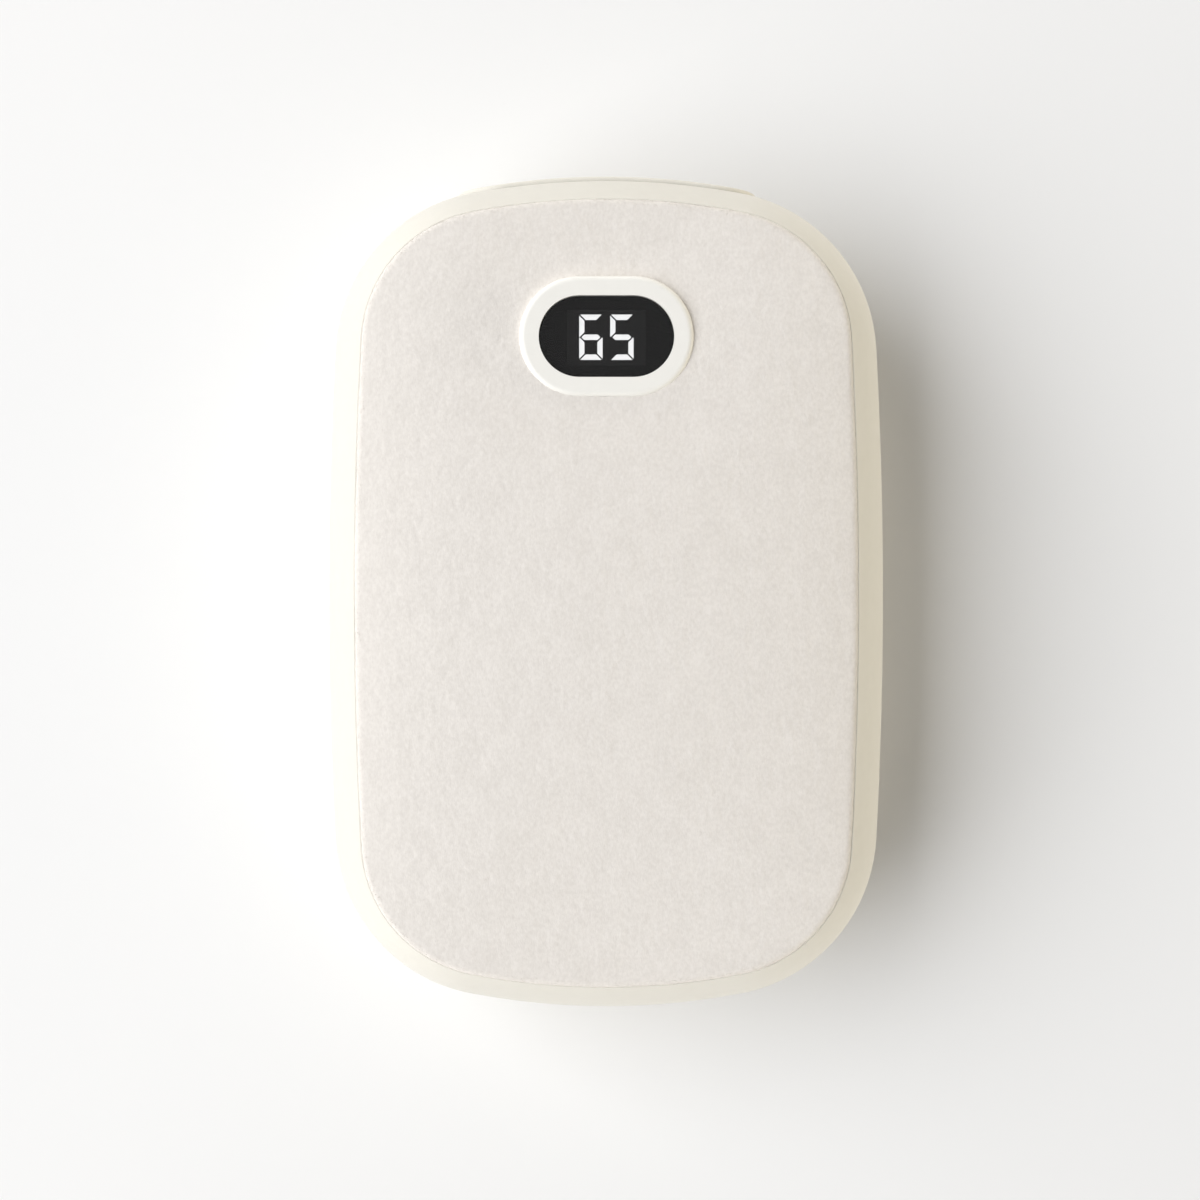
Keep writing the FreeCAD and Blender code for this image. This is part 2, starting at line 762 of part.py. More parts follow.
def make_rear_shell():
    shell = new_piece("rear_shell")
    outer = size.wall_bulge_radius
    rabbet_x = half_width - size.wall_thickness + size.lip_thickness + size.lip_gap
    rabbet_z = seam_z - size.lip_height - size.lip_gap
    bevel_low = seam_z - size.seam_bevel
    corners = [
        (half_width - size.seam_bevel, seam_z),
        (rabbet_x, seam_z),
        (rabbet_x, rabbet_z),
        (bulge_reach(inner_bulge_radius, rabbet_z), rabbet_z),
        (bulge_reach(inner_bulge_radius, floor_z), floor_z),
        (web_x, floor_z),
        (web_x, rear_deck_z),
        (rim_x, rear_deck_z),
        (rim_x, rear_rim_z),
        (bulge_reach(outer, rear_rim_z), rear_rim_z),
        (bulge_reach(outer, bevel_low), bevel_low),
    ]
    sweep_wall(shell, "rear_wall", corners, {3: inner_bulge_radius, 9: outer})
    round_edges(shell, "rear_rim_round", size.rim_edge_radius, level_edges(rear_rim_z))
    open_end_wall(shell)
    add_outline_pad(shell, "rear_deck", rim_inset + size.deck_lap, rear_deck_z, size.deck_thickness)
    boss_height = seam_z - rear_deck_z
    add_posts(shell, "rear_bosses", case_screws_all, size.rear_boss_radius, rear_deck_z, boss_height)
    head_hole = size.case_head_radius + size.screw_gap
    cut_holes(shell, "head_recesses", case_screws_all, head_hole, rear_deck_z, size.case_head_recess)
    shank_hole = size.case_screw_radius + size.screw_gap
    cut_holes(shell, "shank_holes", case_screws_all, shank_hole, case_seat_z, seam_z - case_seat_z)
    standoff_height = board_z - rear_deck_z
    add_posts(shell, "standoffs", board_screws_all, size.standoff_radius, rear_deck_z, standoff_height)
    pilot_radius = size.board_screw_radius + size.thread_gap
    pilot_depth = size.board_screw_length - size.board_thickness + size.screw_gap
    cut_holes(shell, "board_pilots", board_screws_all, pilot_radius, board_z - pilot_depth, pilot_depth)
    lead_hole = size.lead_radius + size.lead_gap
    cut_holes(shell, "rear_lead_holes", heater_lead_places, lead_hole, rear_deck_z, size.deck_thickness)


# Heated faces


def cut_for_bezel(body, z, thickness):
    width = size.bezel_width + size.bezel_gap * 2
    length = size.bezel_length + size.bezel_gap * 2
    cut_stadium(body, f"{body.Name}_bezel_hole", 0, bezel_y, z, width, length, thickness)


def make_pad(label, base_z, face_z, up):
    """Fabric pad whose face swells from a soft edge to a flat middle. Up is 1 or -1."""
    body = new_piece(label)
    pad_x = half_width - layer_inset
    crown_x = pad_x - crown_width
    flat_x = crown_x - size.pad_crown_lap
    edge_z = face_z - size.pad_crown_height * up
    corners = [
        (pad_x, base_z),
        (pad_x, edge_z),
        (crown_x, face_z),
        (flat_x, face_z),
        (flat_x, base_z),
    ]
    crown_centre = (crown_x, face_z - crown_radius * up)
    sweep_wall(body, f"{label}_crown", corners, {1: crown_radius}, crown_centre, "DistanceX")
    middle_inset = layer_inset + crown_width + size.pad_crown_lap / 2
    low_z = base_z if up > 0 else face_z
    add_outline_pad(body, f"{label}_middle", middle_inset, low_z, size.pad_thickness)
    round_edges(body, f"{label}_edge", size.pad_edge_radius, level_edges(edge_z))
    return body


def make_heat_layer(label, inset, z, thickness, under_bezel):
    layer = new_piece(label)
    add_outline_pad(layer, f"{label}_outline", inset, z, thickness)
    if under_bezel:
        cut_for_bezel(layer, z, thickness)
    return layer


def make_insulation(label, z, under_bezel):
    """Felt layer with holes for the heater leads and a nest for the temperature sensor."""
    felt = make_heat_layer(label, layer_inset, z, size.insulation_thickness, under_bezel)
    lead_hole = size.lead_radius + size.lead_gap
    cut_holes(felt, f"{label}_leads", heater_lead_places, lead_hole, z, size.insulation_thickness)
    nest = flat_sketch(felt, f"{label}_nest", z=z)
    nest_width = size.thermistor_width + size.thermistor_gap * 2
    nest_length = size.thermistor_length + size.thermistor_gap * 2
    draw_rectangle(nest, nest_width, nest_length)
    pocket(felt, nest, size.insulation_thickness, backwards=True)


def make_heated_faces():
    front_pad = make_pad("front_pad", front_pad_z, front_face_z, 1)
    cut_for_bezel(front_pad, front_pad_z, size.pad_thickness)
    make_pad("rear_pad", rear_plate_z, as_size(0), -1)
    film_inset = layer_inset + size.film_margin
    make_heat_layer("front_heat_plate", layer_inset, front_plate_z, size.plate_thickness, True)
    make_heat_layer("rear_heat_plate", layer_inset, rear_plate_z, size.plate_thickness, False)
    make_heat_layer("front_heater_film", film_inset, front_film_z, size.film_thickness, True)
    make_heat_layer("rear_heater_film", film_inset, rear_film_z, size.film_thickness, False)
    make_insulation("front_insulation", front_deck_z, True)
    make_insulation("rear_insulation", rear_insulation_z, False)
    sensors = new_piece("thermistors")
    for name, z in (
        ("front_thermistor", front_film_z - size.thermistor_height),
        ("rear_thermistor", rear_insulation_z),
    ):
        add_box(
            sensors, name, 0, 0, z, size.thermistor_width, size.thermistor_length, size.thermistor_height
        )


# Display


def make_bezel():
    bezel = new_piece("display_bezel")
    base = flat_sketch(bezel, "bezel_outline", y=bezel_y, z=front_deck_z)
    draw_stadium(base, size.bezel_width, size.bezel_length)
    pad(bezel, base, bezel_top_z - front_deck_z)
    round_edges(bezel, "bezel_round", size.bezel_edge_radius, level_edges(bezel_top_z))
    depth = lens_ledge_z - front_deck_z
    cut_stadium(bezel, "lens_rabbet", 0, bezel_y, front_deck_z, ledge_width, ledge_length, depth)
    window = (size.window_width, size.window_length)
    cut_stadium(bezel, "bezel_window", 0, bezel_y, lens_ledge_z, *window, size.bezel_lip)


def make_lens():
    lens = new_piece("display_lens")
    flange = flat_sketch(lens, "lens_flange", y=bezel_y, z=lens_under_z)
    draw_stadium(flange, ledge_width - size.lens_gap * 2, ledge_length - size.lens_gap * 2)
    pad(lens, flange, size.lens_flange_thickness)
    face = flat_sketch(lens, "lens_face", y=bezel_y, z=lens_under_z)
    draw_stadium(face, size.window_width - size.lens_gap * 2, size.window_length - size.lens_gap * 2)
    pad(lens, face, lens_top_z - lens_under_z)


def make_gasket():
    gasket = new_piece("display_gasket")
    outline = flat_sketch(gasket, "gasket_outline", y=bezel_y, z=module_face_z)
    draw_stadium(outline, ledge_width - size.gasket_gap * 2, ledge_length - size.gasket_gap * 2)
    pad(gasket, outline, size.gasket_thickness)
    opening = flat_sketch(gasket, "gasket_opening", y=bezel_y, z=module_face_z)
    draw_rectangle(
        opening, size.module_width - size.gasket_lap * 2, size.module_length - size.gasket_lap * 2
    )
    pocket(gasket, opening, size.gasket_thickness, backwards=True)


def pin_places():
    """Where the display's pins stand: two rows, evenly spaced about its middle."""
    middle = (PINS_PER_ROW - 1) / 2
    return [
        (size.pin_pitch * (index - middle), bezel_y + size.pin_row_spacing * row)
        for row in (-0.5, 0.5)
        for index in range(PINS_PER_ROW)
    ]


def make_module():
    module = new_piece("display_module")
    add_box(
        module, "module_block", 0, bezel_y, module_under_z,
        size.module_width, size.module_length, size.module_depth,
    )
    pins = new_piece("display_pins")
    foot_z = board_z - size.pin_tail
    add_posts(pins, "pin_posts", pin_places(), size.pin_radius, foot_z, module_under_z - foot_z)


def segment_outlines():
    """The seven segments of one digit, about its middle: three are drawn and four mirrored."""
    across = size.digit_width.number / 2
    up = size.digit_height.number / 2
    wide = size.segment_width.number
    gap = size.segment_gap.number
    top = [
        (gap - across, up),
        (across - gap, up),
        (across - gap - wide, up - wide),
        (gap + wide - across, up - wide),
    ]
    upper_left = [
        (-across, up - gap),
        (wide - across, up - gap - wide),
        (wide - across, wide),
        (gap / 2 - across, gap / 2),
        (-across, gap / 2),
    ]
    point = across - gap * 2
    flat = point - wide / 2
    middle = [
        (-point, 0), (-flat, wide / 2), (flat, wide / 2),
        (point, 0), (flat, -wide / 2), (-flat, -wide / 2),
    ]

    def mirrored(points, x_sign, y_sign):
        return [(x * x_sign, y * y_sign) for x, y in points]

    return {
        "a": top,
        "b": mirrored(upper_left, -1, 1),
        "c": mirrored(upper_left, -1, -1),
        "d": mirrored(top, 1, -1),
        "e": mirrored(upper_left, 1, -1),
        "f": upper_left,
        "g": middle,
    }


def make_segments():
    """The digits, as separate lit and unlit bars on the face of the module."""
    groups = {"lit_segments": [], "unlit_segments": []}
    thickness = FreeCAD.Vector(0, 0, size.segment_thickness.number)
    digit_y = bezel_y.number + size.digit_rise.number
    for digit, lit in enumerate(LIT_SEGMENTS):
        digit_x = (digit - 0.5) * size.digit_pitch.number
        for letter, points in segment_outlines().items():
            corners = [
                FreeCAD.Vector(digit_x + x, digit_y + y, module_face_z.number)
                for x, y in points
            ]
            face = Part.Face(Part.makePolygon(corners + corners[:1]))
            label = "lit_segments" if letter in lit else "unlit_segments"
            groups[label].append(face.extrude(thickness))
    for label, bars in groups.items():
        group = doc.addObject("Part::Feature", label)
        group.Shape = Part.makeCompound(bars)
        pieces.append(group)


# End panel and power button


def wall_strip(name, inner_radius, outer_radius):
    """A band that follows the housing wall right round, between two radii of its bulge."""
    band = doc.addObject("PartDesign::Body", name)
    reach = size.panel_height / 2 + size.panel_flange_margin * 2
    low = seam_z - reach
    high = seam_z + reach
    corners = [
        (bulge_reach(inner_radius, low), low),
        (bulge_reach(outer_radius, low), low),
        (bulge_reach(outer_radius, high), high),
        (bulge_reach(inner_radius, high), high),
    ]
    sweep_wall(band, name, corners, {1: outer_radius, 3: inner_radius})
    return band


def end_prism(name, x, width, height):
    """A round-ended prism that runs out through the end wall, level with the seam."""
    prism = doc.addObject("PartDesign::Body", name)
    start_y = half_length - size.prism_depth
    sketch = upright_sketch(prism, f"{name}_section", x=x, y=start_y, z=seam_z)
    draw_stadium(sketch, width, height)
    pad(prism, sketch, size.prism_depth + size.end_overrun, backwards=True)
    return prism


def wall_patch(name, inner_radius, outer_radius, x, width, height):
    """A round-ended patch of the end wall, between two radii of its bulge."""
    band = wall_strip(f"{name}_band", inner_radius, outer_radius)
    prism = end_prism(f"{name}_prism", x, width, height)
    return combine("Common", name, band, prism)


def skin_radius(point):
    """Radius of a point about the wall's bulge, for points near the end that has the panel."""
    corner_x, corner_y = corner_centre()
    end_y = half_length.number - size.end_bow_radius.number
    x = abs(point.x)
    on_end_arc = math.atan2(x, point.y - end_y) < math.atan2(corner_x, corner_y - end_y)
    if on_end_arc:
        outside = math.hypot(x, point.y - end_y) - size.end_bow_radius.number
    else:
        outside = math.hypot(x - corner_x, point.y - corner_y) - size.corner_bow_radius.number
    return math.hypot(size.wall_bulge_radius.number + outside, point.z - seam_z.number)


def round_outer_edge(patch, name, outer_radius, radius):
    """Round the edge where a patch of wall meets its outer skin.

    The edge is one smooth loop, so the rounding starts at its left end and runs all the way round.
    """
    doc.recompute()

    def on_skin(face):
        first_u, last_u, first_v, last_v = face.ParameterRange
        middle = face.valueAt((first_u + last_u) / 2, (first_v + last_v) / 2)
        return abs(skin_radius(middle) - outer_radius.number) < SKIN_CLOSE

    def outer_edge(edge):
        faces = patch.Shape.ancestorsOfType(edge, Part.Face)
        return sum(on_skin(face) for face in faces) == 1

    def left_reach(index):
        return patch.Shape.Edges[index - 1].BoundBox.XMin

    rounded = doc.addObject("Part::Fillet", name)
    rounded.Base = patch
    length = radius.number
    left_end = min(edges_where(patch.Shape, outer_edge), key=left_reach)
    rounded.Edges = [(left_end, length, length)]
    return rounded


def make_end_panel():
    """Raised panel that fills the opening, with a flange behind the wall and two holes."""
    width = size.panel_width
    height = size.panel_height
    skin = size.wall_bulge_radius + size.panel_proud
    back = inner_bulge_radius - size.panel_flange_thickness
    core = wall_patch("panel_core", back, skin, 0, width, height)
    face = round_outer_edge(core, "panel_face", skin, size.panel_edge_radius)
    spread = size.panel_flange_margin * 2
    flange_radius = inner_bulge_radius - size.panel_flange_gap
    flange = wall_patch("panel_flange", back, flange_radius, 0, width + spread, height + spread)
    ring = size.panel_ring_width * 2
    deep = back - size.panel_flange_thickness
    hollow = wall_patch("panel_hollow", deep, inner_bulge_radius, 0, width - ring, height - ring)
    button_hole = end_prism(
        "button_hole",
        size.button_side_distance,
        size.button_width + size.button_gap * 2,
        size.button_height + size.button_gap * 2,
    )
    socket_hole = end_prism(
        "socket_hole",
        -size.socket_side_distance,
        size.socket_width + size.socket_gap * 2,
        size.socket_height + size.socket_gap * 2,
    )
    blank = fuse("panel_blank", [face, flange])
    holes = fuse("panel_holes", [hollow, button_hole, socket_hole])
    pieces.append(combine("Cut", "end_panel", blank, holes))


def make_power_button():
    """Button cap flush with the panel, a flange that stops it, and a post to the switch."""
    x = size.button_side_distance
    skin = size.wall_bulge_radius + size.panel_proud - size.button_sink
    stop = inner_bulge_radius - size.button_rest_gap
    back = stop - size.button_flange_thickness
    cap = wall_patch("button_cap", back, skin, x, size.button_width, size.button_height)
    face = round_outer_edge(cap, "button_face", skin, size.panel_edge_radius)
    spread = size.button_flange_margin * 2
    flange = wall_patch(
        "button_flange", back, stop, x, size.button_width + spread, size.button_height + spread
    )
    post = doc.addObject("PartDesign::Body", "button_post")
    section = upright_sketch(post, "button_post_section", x=x, y=post_tip_y, z=seam_z)
    draw_rectangle(section, size.button_post_width, size.button_post_height)
    pad(post, section, size.button_post_length + size.button_flange_thickness / 2, backwards=True)
    pieces.append(fuse("power_button", [face, flange, post]))


def make_switch():
    x = size.button_side_distance
    switch = new_piece("tact_switch")
    middle_y = switch_face_y - size.switch_depth / 2
    low_z = board_z - size.switch_height
    add_box(
        switch, "switch_block", x, middle_y, low_z,
        size.switch_width, size.switch_depth, size.switch_height,
    )
    bore_depth = size.plunger_seat + size.button_travel + size.plunger_gap
    bore = upright_sketch(switch, "plunger_bore", x=x, y=switch_face_y, z=seam_z)
    draw_rectangle(
        bore, size.plunger_width + size.plunger_gap * 2, size.plunger_height + size.plunger_gap * 2
    )
    pocket(switch, bore, bore_depth, backwards=True)
    plunger = new_piece("switch_plunger")
    section = upright_sketch(plunger, "plunger_section", x=x, y=plunger_tip_y, z=seam_z)
    draw_rectangle(section, size.plunger_width, size.plunger_height)
    pad(plunger, section, size.plunger_reach + size.plunger_seat)


def make_socket():
    x = -size.socket_side_distance
    shell = new_piece("usb_shell")
    outer = upright_sketch(shell, "socket_outer", x=x, y=socket_mouth_y, z=seam_z)
    draw_stadium(outer, size.socket_width, size.socket_height)
    pad(shell, outer, size.socket_length)
    inner_width = size.socket_width - size.socket_wall * 2
    inner_height = size.socket_height - size.socket_wall * 2
    inner = upright_sketch(shell, "socket_inner", x=x, y=socket_mouth_y, z=seam_z)
    draw_stadium(inner, inner_width, inner_height)
    pocket(shell, inner, size.socket_length, backwards=True)
    tongue = new_piece("usb_tongue")
    base_y = socket_mouth_y - size.socket_length
    base = upright_sketch(tongue, "tongue_base", x=x, y=base_y, z=seam_z)
    draw_stadium(base, inner_width - size.tongue_gap * 2, inner_height - size.tongue_gap * 2)
    pad(tongue, base, size.tongue_base_length, backwards=True)
    blade = upright_sketch(tongue, "tongue_blade", x=x, y=base_y, z=seam_z)
    draw_rectangle(blade, size.tongue_width, size.tongue_thickness)
    pad(tongue, blade, size.socket_length - size.tongue_setback, backwards=True)


# Main board


def make_board():
    board = new_piece("main_board")
    add_outline_pad(board, "board_outline", size.board_inset, board_z, size.board_thickness)
    cut_length = size.body_length - size.board_reach
    away = flat_sketch(board, "board_lower_cut", y=board_start_y - cut_length / 2, z=board_z)
    draw_rectangle(away, size.body_width, cut_length)
    pocket(board, away, size.board_thickness, backwards=True)
    screw_hole = size.board_screw_radius + size.screw_gap
    cut_holes(board, "board_screw_holes", board_screws_all, screw_hole, board_z, size.board_thickness)
    pin_hole = size.pin_radius + size.pin_gap
    cut_holes(board, "board_pin_holes", pin_places(), pin_hole, board_z, size.board_thickness)


def make_board_parts():
    inductor = new_piece("power_inductor")
    add_box(
        inductor, "inductor_block", size.inductor_side_inset - half_width,
        half_length - size.inductor_end_inset, board_top_z,
        size.inductor_width, size.inductor_width, size.inductor_height,
    )
    chip = new_piece("charge_chip")
    add_box(
        chip, "chip_block", half_width - size.chip_side_inset,
        half_length - size.chip_end_inset, board_top_z,
        size.chip_width, size.chip_width, size.chip_height,
    )
    transistors = new_piece("heater_transistors")
    block = add_box(
        transistors, "transistor_block", size.transistor_side_distance,
        half_length - size.transistor_end_inset, board_top_z,
        size.transistor_width, size.transistor_length, size.transistor_height,
    )
    mirror_across_middle(transistors, "transistor_pair", [block])
    capacitors = new_piece("board_capacitors")
    middle = (CAPACITOR_COUNT - 1) / 2
    for index in range(CAPACITOR_COUNT):
        add_box(
            capacitors, f"capacitor_{index + 1}", size.capacitor_spacing * (index - middle),
            half_length - size.capacitor_end_inset, board_top_z,
            size.capacitor_width, size.capacitor_length, size.capacitor_height,
        )


# Battery


def make_cell(label, z):
    """Pouch cell: a soft-edged block with a thin terrace at the end that its tabs leave."""
    cell = new_piece(label)
    body_length = cell_length - size.terrace_length
    add_box(
        cell, f"{label}_pouch", 0, cell_y - size.terrace_length / 2, z,
        cell_width, body_length, cell_thickness,
    )
    round_edges(cell, f"{label}_corners", size.cell_corner_radius, upright_edges)
    top = level_edges(z + cell_thickness)
    low = level_edges(z)
    round_edges(cell, f"{label}_edges", size.cell_edge_radius, lambda edge: top(edge) or low(edge))
    add_box(
        cell, f"{label}_terrace", 0, terrace_y - size.cell_corner_radius / 2, z + terrace_rise,
        cell_width - size.cell_corner_radius * 2, size.terrace_length + size.cell_corner_radius,
        size.terrace_thickness,
    )


def make_tray():
    tray = new_piece("cell_tray")
    height = size.cavity_height - size.tray_headroom
    inner_width = cell_width + size.cell_gap * 2
    inner_length = cell_length + size.cell_gap * 2
    outer_width = inner_width + size.tray_wall * 2
    outer_length = inner_length + size.tray_wall * 2
    add_box(tray, "tray_block", 0, cell_y, floor_z, outer_width, outer_length, height)
    round_edges(tray, "tray_outer_corners", size.tray_corner_radius, upright_edges)
    well = flat_sketch(tray, "tray_well", y=cell_y, z=floor_z)
    draw_rectangle(well, inner_width, inner_length)
    pocket(tray, well, height, backwards=True)
    half_inner = inner_width.number / 2

    def well_corners(edge):
        return upright_edges(edge) and abs(abs(edge.CenterOfMass.x) - half_inner) < CLOSE

    round_edges(tray, "tray_well_corners", size.tray_corner_radius - size.tray_wall, well_corners)


def make_battery():
    make_cell("rear_cell", rear_cell_z)
    make_cell("front_cell", front_cell_z)
    make_tray()
    foam = new_piece("cell_foam_pads")
    foam_width = cell_width - size.foam_margin * 2
    foam_length = cell_length - size.terrace_length - size.foam_margin * 2
    foam_y = cell_y - size.terrace_length / 2
    for name, z in (("floor_foam", floor_z), ("middle_foam", middle_foam_z), ("roof_foam", front_foam_z)):
        add_box(foam, name, 0, foam_y, z, foam_width, foam_length, size.foam_thickness)
    tabs = new_piece("cell_tabs")
    tab_z = rear_cell_z + terrace_rise + size.terrace_thickness
    tab_height = front_cell_z + terrace_rise - tab_z
    tab = add_box(
        tabs, "tab_strip", size.tab_side_distance, terrace_y, tab_z,
        size.tab_width, size.tab_thickness, tab_height,
    )
    mirror_across_middle(tabs, "tab_pair", [tab])
    guard = new_piece("protection_board")
    guard_z = front_cell_z + terrace_rise + size.terrace_thickness
    add_box(
        guard, "guard_block", 0, terrace_y, guard_z,
        size.guard_board_width, size.guard_board_length, size.guard_board_thickness,
    )


# Leads


def lead_tube(points):
    """A round lead along straight runs, with each corner an arc as large as its runs allow."""
    corners = [FreeCAD.Vector(*point) for point in points]
    edges = []
    start = corners[0]
    for before, corner, after in zip(corners, corners[1:], corners[2:]):
        back = (before - corner).normalize()
        ahead = (after - corner).normalize()
        tangent = LEAD_BEND_SHARE * min((before - corner).Length, (after - corner).Length)
        half_angle = back.getAngle(ahead) / 2
        bend_radius = tangent * math.tan(half_angle)
        first = corner + back * tangent
        last = corner + ahead * tangent
        towards = (back + ahead).normalize()
        middle = corner + towards * (bend_radius / math.sin(half_angle) - bend_radius)
        edges.append(Part.LineSegment(start, first).toShape())
        edges.append(Part.Arc(first, middle, last).toShape())
        start = last
    edges.append(Part.LineSegment(start, corners[-1]).toShape())
    path = Part.Wire(edges)
    circle = Part.Circle(corners[0], corners[1] - corners[0], size.lead_radius.number)
    tube = path.makePipeShell([Part.Wire(circle.toShape())], True, False)
    wanted = math.pi * size.lead_radius.number**2 * path.Length
    if abs(tube.Volume - wanted) > wanted * VOLUME_CLOSE:
        raise RuntimeError("a lead's volume is not its section times its length")
    return tube


def add_leads(label, routes):
    leads = doc.addObject("Part::Feature", label)
    tubes = [lead_tube(route) for route in routes]
    leads.Shape = tubes[0] if len(tubes) == 1 else Part.makeCompound(tubes)
    pieces.append(leads)


def make_leads():
    radius = size.lead_radius.number
    guard_top = front_cell_z + terrace_rise + size.terrace_thickness + size.guard_board_thickness
    guard_level = guard_top.number + radius
    board_level = board_top_z.number + radius
    start_y = terrace_y.number
    edge_y = board_start_y.number
    sides = (("positive_battery_lead", 1), ("negative_battery_lead", -1))
    for label, side in sides:
        x = side * size.battery_lead_side_distance.number
        route = [
            (x, start_y, guard_level),
            (x, tray_top_y.number, guard_level),
            (x, edge_y - size.battery_lead_rise_room.number, board_level),
            (x, edge_y + size.battery_lead_landing.number, board_level),
        ]
        add_leads(label, [route])
    lead_y = heater_lead_y.number
    landing_y = lead_y + size.heater_lead_shift.number
    spans = (
        ("front_heater_leads", front_film_z.number, board_top_z.number),
        ("rear_heater_leads", rear_insulation_z.number, board_z.number),
    )
    for label, film_z, land_z in spans:
        third = (land_z - film_z) / 3
        routes = []
        for side in (-1, 1):
            x = side * heater_lead_x.number
            routes.append([
                (x, lead_y, film_z),
                (x, lead_y, film_z + third),
                (x, landing_y, land_z - third),
                (x, landing_y, land_z),
            ])
        add_leads(label, routes)


# Screws


def make_case_screws():
    group = new_piece("case_screws")
    places = case_screw_places
    head_z = case_seat_z - size.case_head_height
    features = [
        add_posts(group, "case_heads", places, size.case_head_radius, head_z, size.case_head_height),
        add_posts(group, "case_shanks", places, size.case_screw_radius, head_z, case_tip_z - head_z),
    ]
    mirror_across_middle(group, "case_screw_pairs", features)


def make_board_screws():
    group = new_piece("board_screws")
    places = board_screw_places
    tip_z = board_top_z - size.board_screw_length
    head = size.board_head_height
    shank = size.board_screw_length + head
    features = [
        add_posts(group, "board_heads", places, size.board_head_radius, board_top_z, head),
        add_posts(group, "board_shanks", places, size.board_screw_radius, tip_z, shank),
    ]
    mirror_across_middle(group, "board_screw_pairs", features)


make_front_shell()
make_rear_shell()
make_heated_faces()
make_bezel()
make_lens()
make_gasket()
make_module()
make_segments()
make_end_panel()
make_power_button()
make_switch()
make_socket()
make_board()
make_board_parts()
make_battery()
make_leads()
make_case_screws()
make_board_screws()
doc.recompute()

faults = [
    f"{item.Name}: {item.State}"
    for item in doc.Objects
    if {"Invalid", "Error"} & set(item.State)
]
faults += [
    f"{piece.Label}: no valid solid"
    for piece in pieces
    if piece.Shape.isNull() or not piece.Shape.isValid() or not piece.Shape.Solids
]
if faults:
    raise RuntimeError("; ".join(faults))

os.makedirs("parts", exist_ok=True)
for piece in pieces:
    piece.Shape.exportStep(os.path.join("parts", f"{piece.Label}.step"))
    print(f"{piece.Label}: {len(piece.Shape.Solids)} solids, {piece.Shape.Volume:.2f} cubic mm")
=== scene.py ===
import json
import math

import bpy
import numpy as np
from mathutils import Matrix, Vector
from mathutils.geometry import delaunay_2d_cdt
from mathutils.noise import noise


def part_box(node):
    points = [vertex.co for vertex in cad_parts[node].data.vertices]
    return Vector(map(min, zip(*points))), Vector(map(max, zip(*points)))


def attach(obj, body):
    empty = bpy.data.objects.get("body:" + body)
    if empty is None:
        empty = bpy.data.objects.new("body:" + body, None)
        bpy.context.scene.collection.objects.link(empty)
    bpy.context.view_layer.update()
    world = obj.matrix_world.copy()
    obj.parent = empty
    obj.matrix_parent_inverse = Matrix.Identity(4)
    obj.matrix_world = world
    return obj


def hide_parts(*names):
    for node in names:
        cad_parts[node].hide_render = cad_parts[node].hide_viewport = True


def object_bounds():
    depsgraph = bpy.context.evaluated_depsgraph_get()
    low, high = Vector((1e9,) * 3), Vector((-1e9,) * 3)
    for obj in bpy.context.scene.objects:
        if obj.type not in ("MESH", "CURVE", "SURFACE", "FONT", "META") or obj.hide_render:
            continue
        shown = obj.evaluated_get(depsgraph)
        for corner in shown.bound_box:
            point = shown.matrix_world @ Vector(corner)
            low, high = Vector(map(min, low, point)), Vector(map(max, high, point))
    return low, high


# Rechargeable hand warmer, seen from straight above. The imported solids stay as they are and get
# their finishes here; the two fabric pads are replaced by plush ones with a crown, a rolled edge
# and a short nap. Metres, +Z up, +Y towards the end panel.

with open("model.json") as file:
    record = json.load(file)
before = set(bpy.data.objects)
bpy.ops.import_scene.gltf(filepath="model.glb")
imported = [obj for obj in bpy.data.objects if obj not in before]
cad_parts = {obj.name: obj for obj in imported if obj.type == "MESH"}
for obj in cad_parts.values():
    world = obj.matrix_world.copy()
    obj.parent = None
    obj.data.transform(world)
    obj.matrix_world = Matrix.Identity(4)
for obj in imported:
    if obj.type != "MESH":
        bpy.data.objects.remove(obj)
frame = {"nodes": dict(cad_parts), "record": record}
cad_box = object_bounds()
nodes = frame["nodes"]

MM = 0.001
SEED = 7
MIDDLE_Z = (cad_box[0][2] + cad_box[1][2]) / 2

# Camera
CAMERA_PLACE = (-0.72 * MM, -0.78 * MM, 214.9 * MM)
CAMERA_LENS = 50.0
CAMERA_SENSOR = 36.0
CAMERA_NEAR = 0.01

# Light: each lamp by its azimuth from +X and elevation in degrees, distance, width, height, watts
# and colour
SKY_STRENGTH = 0.15
SKY_SEEN_STRENGTH = 1.0
SKY_COLOUR = (1.0, 1.0, 1.0, 1.0)
LAMPS = {
    "key": (178, 45, 1.80, 2.60, 1.60, 51.0, (1.0, 1.0, 1.0)),
    "right_fill": (0, 3, 1.80, 1.20, 0.16, 17.5, (1.0, 0.90, 0.69)),
    "far_fill": (90, 4, 1.80, 1.20, 0.20, 11.5, (1.0, 0.96, 0.90)),
    "near_fill": (270, 4, 1.80, 1.20, 0.20, 11.5, (1.0, 0.96, 0.90)),
}
LAMP_AIM = (0.0, 0.0, 0.015)
FLOOR_SIZE = 1.6
FLOOR_DROP = 0.2 * MM
FLOOR_ROUGHNESS = 0.9
FLOOR_COLOUR = (0.80, 0.80, 0.80, 1.0)
FLOOR_SEEN_COLOUR = (0.90, 0.90, 0.90, 1.0)

# Plan outline of the housing, which the pads follow inside its rim
BODY_HALF_WIDTH = 33.0 * MM
BODY_SIDE_RADIUS = 540.0 * MM
BODY_END_RADIUS = 85.0 * MM
BODY_CORNER_RADIUS = 20.0 * MM

